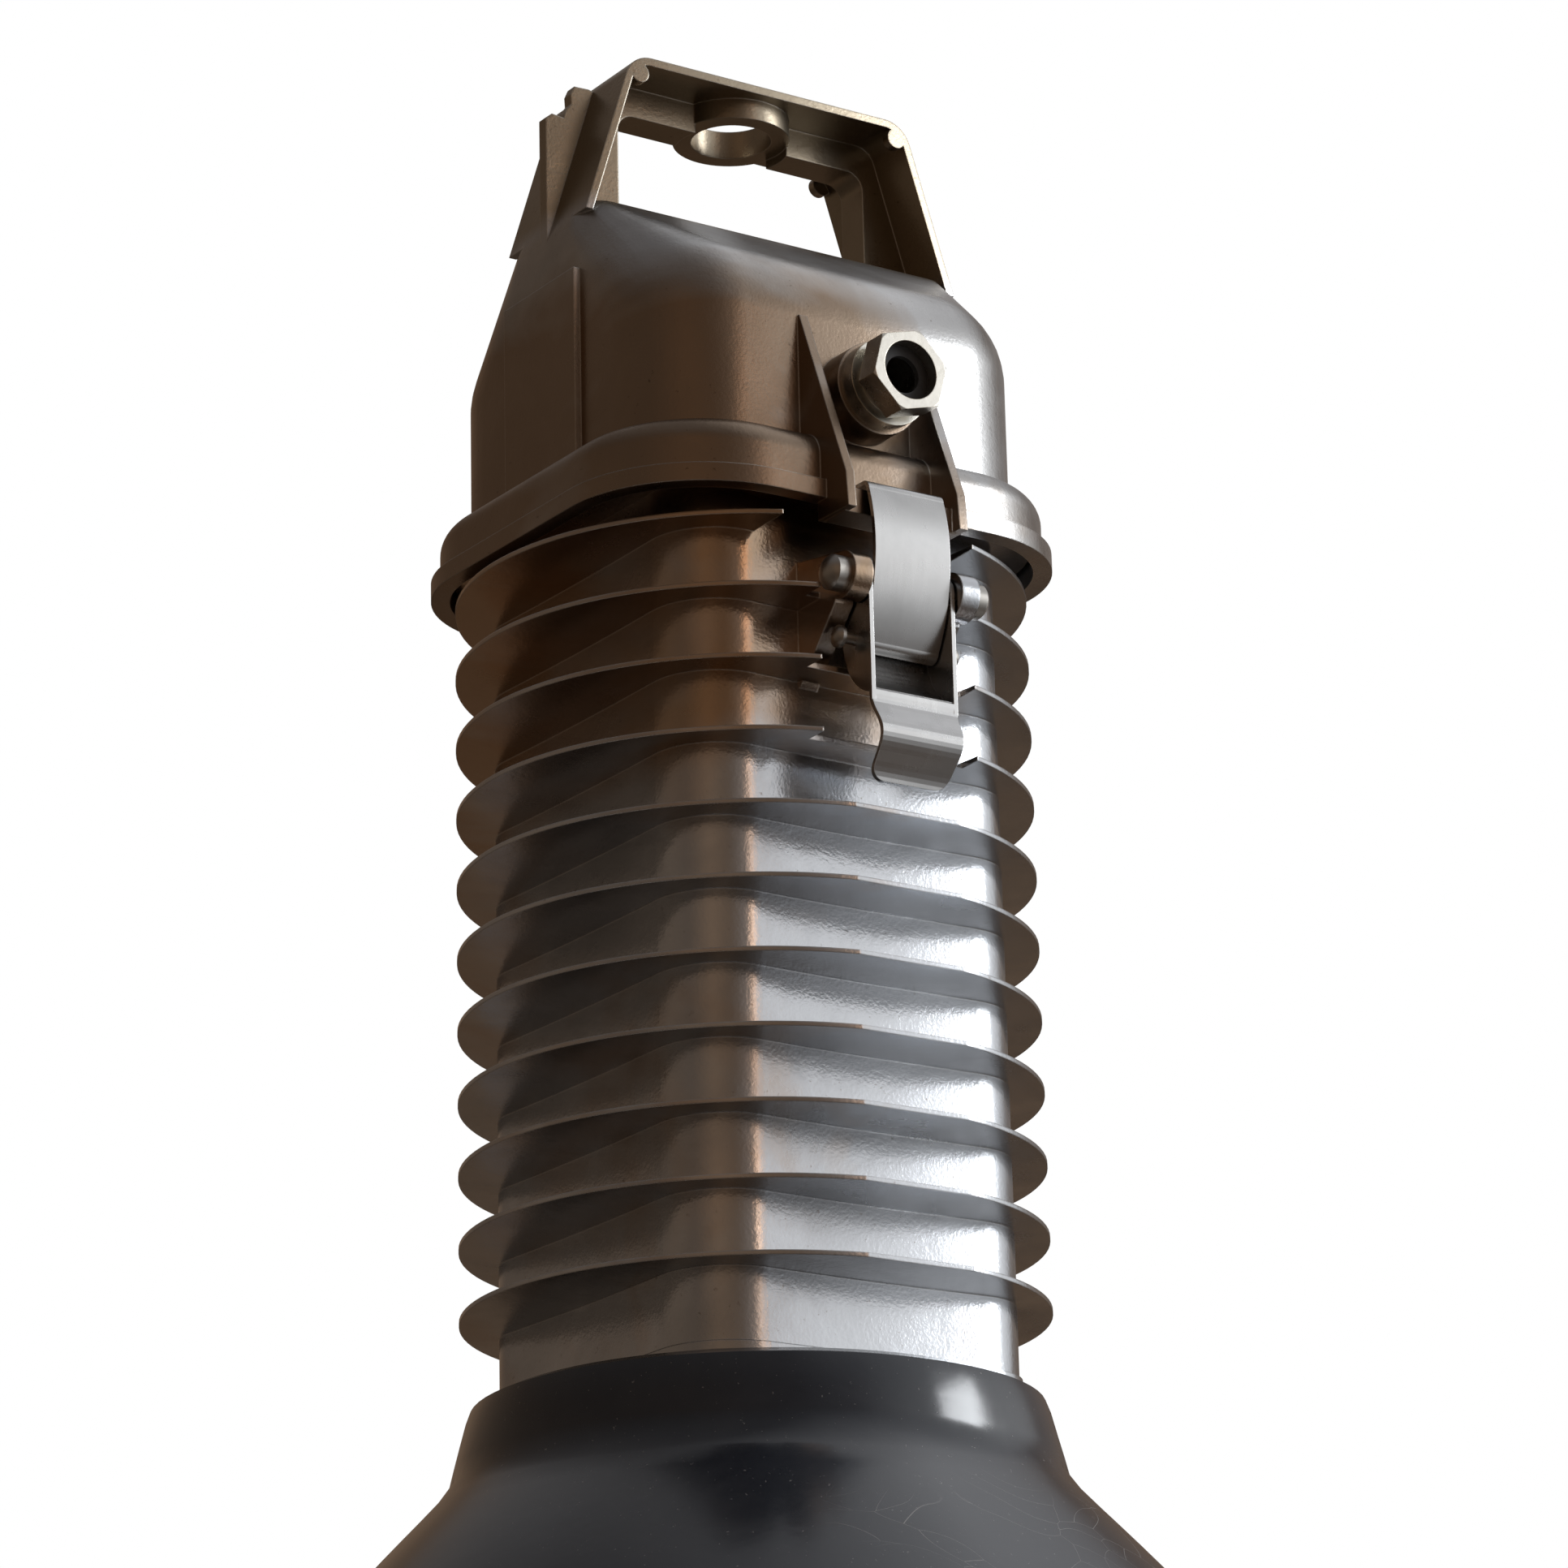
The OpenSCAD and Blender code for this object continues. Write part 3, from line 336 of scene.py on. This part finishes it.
# Painted light on the housing: painted shade makes its upper cells browner.
housing_cast = cast_aluminium(
    "housing_cast", tint=(0.55, 0.565, 0.59), stain_and_shade=(0.43, 0.285, 0.165), roughness=(0.17, 0.30),
    fullness=1.0, painted_light_heights=(-0.245, -0.225, 0.0, 0.24))
print("cast finishes:", cover_cast.name, housing_cast.name)

# %% [markdown]
# ## Rolled stainless steel
# The toggle latch is bent from bright rolled strip. The rolls leave very fine streaks along the
# strip and the metal stays cleaner than the castings, with a softer line of light. Noise that is
# stretched a lot along one axis gives streaks. The pins and screws are the same steel, duller.

# %% Stainless finish
STEEL_STREAKS = {"scale": 900.0, "detail": 3.0, "rough": 0.6}
STEEL_CLOUDS = {"scale": 60.0, "detail": 4.0, "rough": 0.6}
STEEL_EDGE = 0.0003
RUBBED_STEEL = (0.80, 0.79, 0.77)
PATCHY = (0.4, 0.7)


def stainless(name, stretch, tint, roughness):
    """Rolled steel; the streaks run along the axes whose stretch is small."""
    finish, tree, shader = new_finish(name)
    streaks = noise(tree, object_point(tree, stretch), **STEEL_STREAKS)
    clouds = noise(tree, object_point(tree), **STEEL_CLOUDS)
    edge, rounded = worn_edges(tree, STEEL_EDGE)
    colour = blend_colours(tree, span(tree, clouds, *PATCHY), tint, darker(tint, 0.82))
    colour = blend_colours(tree, combine(tree, "MULTIPLY", edge, 0.35), colour, RUBBED_STEEL)
    tree.links.new(colour, shader.inputs["Base Color"])
    shader.inputs["Metallic"].default_value = 1.0
    mixed = combine(tree, "ADD", combine(tree, "MULTIPLY", streaks, 0.25),
                    combine(tree, "MULTIPLY", clouds, 0.75))
    tree.links.new(span(tree, mixed, 0.35, 0.65, *roughness), shader.inputs["Roughness"])
    bumps(tree, shader, (streaks, 0.02, 0.0001), base=rounded)
    return finish


latch_steel = stainless("latch_steel", (1.0, 0.10, 0.10), (0.49, 0.488, 0.485), (0.24, 0.32))
pin_steel = stainless("pin_steel", (0.05, 1.0, 1.0), (0.45, 0.43, 0.40), (0.26, 0.42))
screw_steel = stainless("screw_steel", (1.0, 1.0, 1.0), (0.50, 0.49, 0.47), (0.28, 0.42))
print("steel finishes:", latch_steel.name, pin_steel.name, screw_steel.name)

# %% [markdown]
# ## Plated metal and brass
# The cable gland is turned from brass and nickel plated. It is the shiniest piece, and where the
# plate has worn along the hexagon's corners the yellow brass shows through. The same tree makes the
# zinc plate of the gear tray, the capacitor's drawn can and bare brass, each with its own colours.

# %% Nickel, zinc and brass finishes
PLATE_CLOUDS = {"scale": 160.0, "detail": 4.0, "rough": 0.6}
PLATE_PITS = {"scale": 1100.0, "detail": 2.0}
PLATE_EDGE = 0.0004
PLATE_WEAR = 0.7


def plated(name, skin, under, roughness):
    """A skin colour that is worn to the colour under it along the edges."""
    finish, tree, shader = new_finish(name)
    point = object_point(tree)
    clouds = noise(tree, point, **PLATE_CLOUDS)
    pits = noise(tree, point, **PLATE_PITS)
    edge, rounded = worn_edges(tree, PLATE_EDGE)
    colour = blend_colours(tree, span(tree, clouds, *PATCHY, 0.0, 0.8), skin, darker(skin, 0.7))
    colour = blend_colours(tree, combine(tree, "MULTIPLY", edge, PLATE_WEAR), colour, under)
    tree.links.new(colour, shader.inputs["Base Color"])
    shader.inputs["Metallic"].default_value = 1.0
    tree.links.new(span(tree, clouds, 0.35, 0.7, *roughness), shader.inputs["Roughness"])
    bumps(tree, shader, (pits, 0.08, 0.0001), (clouds, 0.08, 0.0008), base=rounded)
    return finish


WORN_BRASS = (0.74, 0.60, 0.36)
gland_nickel = plated("gland_nickel", (0.62, 0.595, 0.54), WORN_BRASS, (0.24, 0.40))
cap_nickel = plated("cap_nickel", (0.70, 0.68, 0.62), WORN_BRASS, (0.18, 0.32))
bare_brass = plated("bare_brass", (0.72, 0.56, 0.30), (0.80, 0.66, 0.42), (0.24, 0.40))
zinc_plate = plated("zinc_plate", (0.60, 0.61, 0.62), (0.70, 0.70, 0.69), (0.30, 0.48))
drawn_can = plated("drawn_can", (0.70, 0.70, 0.70), (0.80, 0.80, 0.80), (0.24, 0.36))
print("plated finishes ready")

# %% [markdown]
# ## Black enamel outside, white enamel inside
# The reflector is spun steel that was dipped in vitreous enamel: deep gloss black outside and white
# inside, to throw the light down. Enamel is glass, so it gets a clear coat. Years of cleaning leave
# hair scratches and dust. For the scratches a cell pattern is looked up in the three channels of a
# soft noise instead of in space, which bends its thin borders into long curves, and they show only
# in patches. The dust dulls the gloss in clouds.

# %% Lines of the hair scratches
SWIRL_SCALE = 11.0
SWIRL_DETAIL = 1.5
CELL_SCALE = 11.83
LINE_WIDTH = 0.006
PATCH_NOISE = {"scale": 9.0, "detail": 2.0}
SCRATCHED = (0.53, 0.62)


def hair_scratches(tree, point):
    """A mask that is 1 along thin bent lines, in patches."""
    swirl = place(tree, "ShaderNodeTexNoise")
    swirl.inputs["Scale"].default_value = SWIRL_SCALE
    swirl.inputs["Detail"].default_value = SWIRL_DETAIL
    tree.links.new(point, swirl.inputs["Vector"])
    cells = place(tree, "ShaderNodeTexVoronoi", feature="DISTANCE_TO_EDGE")
    cells.inputs["Scale"].default_value = CELL_SCALE
    tree.links.new(swirl.outputs["Color"], cells.inputs["Vector"])
    line = span(tree, cells.outputs["Distance"], 0.0, LINE_WIDTH, 1.0, 0.0)
    here = span(tree, noise(tree, point, **PATCH_NOISE), *SCRATCHED)
    return combine(tree, "MULTIPLY", line, here)


print("scratches bend about every", round(1000 / SWIRL_SCALE), "mm")

# %% [markdown]
# One function makes both enamels. The black or the white gets pale dust in clouds, then specks
# where it is chipped, then the scratches. The dip leaves a faint orange peel, which is a very
# shallow bump, and the scratches are cut into it.

# %% Enamel finishes
ENAMEL_CLOUDS = {"scale": 14.0, "detail": 5.0, "rough": 0.62, "warp": 0.6}
ENAMEL_PEEL = {"scale": 150.0, "detail": 2.0}
ENAMEL_SPECKS = {"scale": 700.0, "detail": 2.0, "rough": 0.6}
ENAMEL_IOR = 1.52
COAT_WEIGHT = 0.4
COAT_ROUGHNESS = 0.15
DUSTY = (0.42, 0.75)
SPECKED = (0.70, 0.76)
GLOSS_AND_DULL = (0.14, 0.30)


def enamel(name, colour, dust_colour, scratch_colour, dust, scratches):
    """Glossy enamel; dust and scratches say how much of each there is, from 0 to 1."""
    finish, tree, shader = new_finish(name)
    point = object_point(tree)
    clouds = noise(tree, point, **ENAMEL_CLOUDS)
    peel = noise(tree, point, **ENAMEL_PEEL)
    specks = noise(tree, point, **ENAMEL_SPECKS)
    scratch = combine(tree, "MULTIPLY", hair_scratches(tree, point), scratches)
    dusty = combine(tree, "MULTIPLY", span(tree, clouds, *DUSTY), dust)
    speck = combine(tree, "MULTIPLY", span(tree, specks, *SPECKED), 0.5 * scratches)
    body = blend_colours(tree, dusty, colour, dust_colour)
    marked = blend_colours(tree, combine(tree, "MAXIMUM", scratch, speck), body, scratch_colour)
    tree.links.new(marked, shader.inputs["Base Color"])
    shader.inputs["IOR"].default_value = ENAMEL_IOR
    shader.inputs["Coat Weight"].default_value = COAT_WEIGHT
    shader.inputs["Coat Roughness"].default_value = COAT_ROUGHNESS
    dull = combine(tree, "ADD", span(tree, clouds, 0.4, 0.75, *GLOSS_AND_DULL),
                   combine(tree, "MULTIPLY", scratch, 0.3))
    tree.links.new(dull, shader.inputs["Roughness"])
    bumps(tree, shader, (peel, 0.03, 0.0012), (scratch, 0.10, 0.0002))
    return finish


black_enamel = enamel("black_enamel", (0.012, 0.016, 0.025), (0.040, 0.044, 0.054),
                      (0.42, 0.41, 0.40), dust=0.7, scratches=0.8)
white_enamel = enamel("white_enamel", (0.78, 0.77, 0.73), (0.60, 0.57, 0.50),
                      (0.40, 0.38, 0.34), dust=0.6, scratches=0.4)
print("enamel finishes:", black_enamel.name, white_enamel.name)

# %% [markdown]
# ## Rubber, plastics, porcelain and glass
# These sit inside or in narrow gaps. Each still has its own grain: rubber blooms grey, moulded
# plastic has a faint orange peel, glazed porcelain is glossy with a thin glaze, and the bulb is
# coated white inside its glass.

# %% Finishes that are not metal
MOULDED_CLOUDS = {"scale": 45.0, "detail": 4.0, "rough": 0.6}
ROUGHNESS_SWING = 0.08


def moulded(name, colour, rough, grain_scale=600.0, grain=0.15, coat=0.0):
    """A moulded, glazed or blown skin, with a fine grain as relief."""
    finish, tree, shader = new_finish(name)
    point = object_point(tree)
    clouds = noise(tree, point, **MOULDED_CLOUDS)
    fine = noise(tree, point, grain_scale, 2.0)
    shade = blend_colours(tree, span(tree, clouds, 0.35, 0.7), colour, darker(colour, 0.78))
    tree.links.new(shade, shader.inputs["Base Color"])
    gloss = span(tree, clouds, 0.3, 0.75, rough - ROUGHNESS_SWING, rough + ROUGHNESS_SWING)
    tree.links.new(gloss, shader.inputs["Roughness"])
    shader.inputs["Coat Weight"].default_value = coat
    bumps(tree, shader, (fine, grain, 0.0002))
    return finish


black_rubber = moulded("black_rubber", (0.035, 0.035, 0.036), 0.72)
white_nylon = moulded("white_nylon", (0.80, 0.78, 0.71), 0.42)
grey_moulding = moulded("grey_moulding", (0.26, 0.27, 0.28), 0.48)
porcelain = moulded("porcelain", (0.86, 0.84, 0.79), 0.16, grain_scale=120.0, grain=0.04, coat=0.7)
opal_glass = moulded("opal_glass", (0.88, 0.88, 0.85), 0.22, grain_scale=90.0, grain=0.02, coat=0.5)
print("moulded finishes ready")

# %% [markdown]
# ## The ballast's core and windings
# A ballast is a stack of thin steel sheets dipped in black varnish, with a coil round it under
# varnished wrap. A Wave texture along the stack draws the sheet edges, and one across the coil
# draws the turns.

# %% Laminated core and coil wrap
BAND_WARP = 0.4
BAND_CLOUDS = {"scale": 60.0, "detail": 4.0}


def striped(name, colour, groove, direction, scale, rough):
    """Bands across one axis, with a darker groove between them."""
    finish, tree, shader = new_finish(name)
    point = object_point(tree)
    bands = place(tree, "ShaderNodeTexWave", wave_type="BANDS", bands_direction=direction)
    bands.inputs["Scale"].default_value = scale
    bands.inputs["Distortion"].default_value = BAND_WARP
    tree.links.new(point, bands.inputs["Vector"])
    clouds = noise(tree, point, **BAND_CLOUDS)
    stripe = span(tree, bands.outputs["Fac"], 0.1, 0.5)
    body = blend_colours(tree, span(tree, clouds, *PATCHY), colour, darker(colour, 0.7))
    tree.links.new(blend_colours(tree, stripe, groove, body), shader.inputs["Base Color"])
    tree.links.new(span(tree, clouds, 0.3, 0.7, rough, rough + 0.15), shader.inputs["Roughness"])
    bumps(tree, shader, (stripe, 0.35, 0.0003))
    return finish


stack_varnish = striped("stack_varnish", colour=(0.075, 0.080, 0.088), groove=(0.02, 0.02, 0.02),
                        direction="X", scale=330.0, rough=0.34)
coil_wrap = striped("coil_wrap", colour=(0.46, 0.26, 0.12), groove=(0.16, 0.08, 0.04),
                    direction="Z", scale=260.0, rough=0.38)
print("ballast finishes:", stack_varnish.name, coil_wrap.name)

# %% [markdown]
# ## Finishes onto the solids
# A solid whose shape is right keeps its mesh and only gets its finish, by filling its material
# slot. The table goes from a finish to the pieces that have it.

# %% Give each solid its finish
PIECES_OF = {
    cover_cast: ("cover",),
    housing_cast: ("housing",),
    gland_nickel: ("gland_body", "gland_nut"),
    latch_steel: ("latch_lever", "latch_strap"),
    pin_steel: ("hinge_pin", "latch_pivot_pin", "strap_pin"),
    screw_steel: ("reflector_screws",),
    black_enamel: ("reflector",),
    black_rubber: ("cover_gasket", "gland_seal"),
    zinc_plate: ("gear_tray", "tray_screws", "ballast_base", "ballast_screws", "capacitor_clip",
                 "holder_bracket", "bracket_screws", "holder_screws"),
    stack_varnish: ("ballast_core",),
    coil_wrap: ("ballast_winding",),
    drawn_can: ("capacitor",),
    grey_moulding: ("ignitor",),
    white_nylon: ("terminal_block",),
    bare_brass: ("terminal_screws", "holder_shell", "holder_contact"),
    porcelain: ("lampholder",),
    cap_nickel: ("lamp_cap",),
    opal_glass: ("lamp_bulb",),
}
finished = 0
for finish, piece_names in PIECES_OF.items():
    for piece_name in piece_names:
        solid = nodes[piece_name]
        solid.data.materials.clear()
        solid.data.materials.append(finish)
        finished += 1
print("finished solids:", finished, "of", len(nodes))

# %% [markdown]
# ## The smooth cover
# The die that made the cover had rounded, flowing walls. The solid has them in narrow flats, so
# this copy is welded into one skin and shaded smooth, and only real corners stay sharp. Normals
# that came with the solid are taken off, since they would keep the flats.

# %% Weld and smooth a copy
WELD = 0.00001
COVER_CORNER = 24.0


def smooth_copy(node_name, new_name, corner_degrees):
    """A welded, smooth-shaded copy of a solid that takes its place."""
    source = nodes[node_name]
    copy = bpy.data.objects.new(new_name, source.data.copy())
    bpy.context.scene.collection.objects.link(copy)
    mesh = bmesh.new()
    mesh.from_mesh(copy.data)
    bmesh.ops.remove_doubles(mesh, verts=mesh.verts, dist=WELD)
    for face in mesh.faces:
        face.smooth = True
    corner = math.radians(corner_degrees)
    for edge in mesh.edges:
        edge.smooth = len(edge.link_faces) == 2 and edge.calc_face_angle(0.0) < corner
    mesh.to_mesh(copy.data)
    mesh.free()
    if copy.data.attributes.get("custom_normal"):
        copy.data.attributes.remove(copy.data.attributes["custom_normal"])
    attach(copy, source["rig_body"])
    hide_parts(node_name)
    return copy


cover_skin = smooth_copy("cover", "cover_skin", COVER_CORNER)
print("cover skin faces:", len(cover_skin.data.polygons))

# %% [markdown]
# ## Two colours on one reflector
# The enamel changes at the rim: black where a face looks outwards, white where it looks at the
# lamp. A smooth copy of the reflector has both finishes, and each face takes the one for the side
# that it is on. The top plate and a narrow band under it stay black.

# %% The reflector's two sides
REFLECTOR_CORNER = 30.0
TOP_BAND = 0.004
LOOKS_IN = -0.05

reflector_shell = smooth_copy("reflector", "reflector_shell", REFLECTOR_CORNER)
reflector_shell.data.materials.append(white_enamel)
_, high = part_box("reflector")
inner_faces = 0
for face in reflector_shell.data.polygons:
    outward = Vector((face.center.x, face.center.y, 0.0)).normalized()
    if face.normal.dot(outward) < LOOKS_IN and face.center.z < high.z - TOP_BAND:
        face.material_index = 1
        inner_faces += 1
print("white faces inside:", inner_faces)

# %% [markdown]
# ## A plain floor
# The floor is a pale matt disc that lies well below the hanging lamp. It is no part of the lamp.

# %% Floor
FLOOR_HEIGHT = -3.4
FLOOR_RADIUS = 2.6
FLOOR_COLOUR = (0.72, 0.70, 0.67)
FLOOR_ROUGHNESS = 0.8


def studio_floor():
    mesh = bmesh.new()
    bmesh.ops.create_circle(mesh, cap_ends=True, segments=64, radius=FLOOR_RADIUS)
    bmesh.ops.translate(mesh, verts=mesh.verts, vec=(0.0, 0.0, FLOOR_HEIGHT))
    data = bpy.data.meshes.new("studio_floor")
    mesh.to_mesh(data)
    mesh.free()
    made = bpy.data.objects.new("studio_floor", data)
    bpy.context.scene.collection.objects.link(made)
    finish, _, shader = new_finish("pale_floor")
    shader.inputs["Base Color"].default_value = (*FLOOR_COLOUR, 1.0)
    shader.inputs["Roughness"].default_value = FLOOR_ROUGHNESS
    made.data.materials.append(finish)
    return made


floor = studio_floor()
print(floor.name, "lies", -FLOOR_HEIGHT, "m below the hanging point")

# %% [markdown]
# ## The room
# The room is bright on the right and dim and warm on the left, so the castings show a light side
# and a shaded side. A colour ramp runs from the dim end to the bright one. Below and above eye
# level the walls get darker, and overhead a ceiling takes their place, which is pale over the
# bright side. All of it is made in the world's nodes, since only its reflections are to be seen.

# %% Walls and ceiling
BRIGHT_SIDE = (0.81, -0.55, 0.20)
WALL_SHADES = {
    0.0: (0.16, 0.118, 0.085),
    0.14: (0.125, 0.094, 0.072),
    0.36: (0.22, 0.148, 0.098),
    0.60: (0.155, 0.108, 0.076),
    0.82: (0.24, 0.20, 0.175),
    1.0: (0.90, 0.95, 1.0),
}
DIM_CEILING = (0.18, 0.17, 0.17)
BRIGHT_CEILING = (0.98, 0.99, 1.02)
DARK_BELOW = (-0.22, 0.05, 0.50, 1.0)
DARK_ABOVE = (0.42, 0.80, 1.0, 0.22)
CEILING_FROM = (0.50, 0.85)
CEILING_BRIGHTENS = (-0.20, 0.50)

world = bpy.data.worlds.new("studio_room")
bpy.context.scene.world = world
world.use_nodes = True
room = world.node_tree
room.nodes.clear()
looking = place(room, "ShaderNodeTexCoord").outputs["Generated"]
look_x, _, look_z = along_axes(room, looking)
toward = place(room, "ShaderNodeVectorMath", operation="DOT_PRODUCT")
toward.inputs[1].default_value = BRIGHT_SIDE
room.links.new(looking, toward.inputs[0])

walls = place(room, "ShaderNodeValToRGB")
stops = walls.color_ramp.elements
for at, shade in WALL_SHADES.items():
    stop = stops[0] if at == 0.0 else stops[-1] if at == 1.0 else stops.new(at)
    stop.color = (*shade, 1.0)
room.links.new(span(room, toward.outputs["Value"], -1.0, 1.0), walls.inputs["Fac"])

eye_level = combine(room, "MULTIPLY", span(room, look_z, *DARK_BELOW),
                    span(room, look_z, *DARK_ABOVE))
wall_light = place(room, "ShaderNodeVectorMath", operation="SCALE")
room.links.new(walls.outputs["Color"], wall_light.inputs[0])
room.links.new(eye_level, wall_light.inputs["Scale"])
ceiling = blend_colours(room, span(room, look_x, *CEILING_BRIGHTENS), DIM_CEILING,
                        BRIGHT_CEILING)
room_light = blend_colours(room, span(room, look_z, *CEILING_FROM),
                           wall_light.outputs["Vector"], ceiling)
print("walls have", len(stops), "shades")

# %% [markdown]
# The Light Path node tells what kind of ray asks for the room's colour. A ray from the camera gets
# plain white, so the lamp stands before a white ground. A ray from a shiny surface gets that white
# on the bright side only, as from a window, and the room elsewhere.

# %% White behind the lamp
WHITE = (1.0, 1.0, 1.0)
WINDOW_EDGE = (0.67, 0.93)

rays = place(room, "ShaderNodeLightPath").outputs
mirrored = combine(room, "MAXIMUM", rays["Is Glossy Ray"], rays["Is Transmission Ray"])
window = combine(room, "MULTIPLY", span(room, toward.outputs["Value"], *WINDOW_EDGE), eye_level)
white_share = combine(room, "MAXIMUM", rays["Is Camera Ray"],
                      combine(room, "MULTIPLY", mirrored, window))
sky = place(room, "ShaderNodeBackground")
sky.inputs["Strength"].default_value = 1.0
room.links.new(blend_colours(room, white_share, room_light, WHITE), sky.inputs["Color"])
out = place(room, "ShaderNodeOutputWorld")
room.links.new(sky.outputs[0], out.inputs["Surface"])
print("studio room ready:", len(room.nodes), "nodes")

# %% [markdown]
# ## The lamps
# One large soft lamp stands at the front right and does most of the work. Two warm ones stand at
# the front: a tall weak one puts an amber line into the rounded corners, as a wooden wall would,
# and a small one gives that line its bright middle. All are area lamps, because metal mirrors the
# shape of what lights it.

# %% Soft lamps
LAMPS_AIM = Vector((0.0, 0.0, -0.30))
COOL, AMBER, PALE_AMBER = (0.93, 0.965, 1.0), (1.0, 0.56, 0.30), (1.0, 0.66, 0.42)


def soft_lamp(name, direction, distance, size, watts, colour):
    """An area lamp of a width and height in metres, in a direction from the housing's middle."""
    data = bpy.data.lights.new(name, "AREA")
    data.shape = "RECTANGLE"
    data.size, data.size_y = size
    data.energy = watts
    data.color = colour
    made = bpy.data.objects.new(name, data)
    spot = LAMPS_AIM + Vector(direction).normalized() * distance
    made.location = spot
    made.rotation_euler = (LAMPS_AIM - spot).to_track_quat("-Z", "Y").to_euler()
    bpy.context.scene.collection.objects.link(made)
    return made


soft_lamps = [
    soft_lamp("key_lamp", (0.80, -0.54, 0.30), 2.4, (0.85, 1.20), 29.0, COOL),
    soft_lamp("warm_lamp", (0.16, -0.96, 0.28), 2.6, (0.50, 0.95), 1.5, AMBER),
    soft_lamp("warm_spark", (0.14, -0.95, 0.20), 2.6, (0.16, 0.16), 0.25, PALE_AMBER),
]
bpy.context.scene.view_settings.view_transform = "Standard"
print("lamps:", [lamp.name for lamp in soft_lamps])
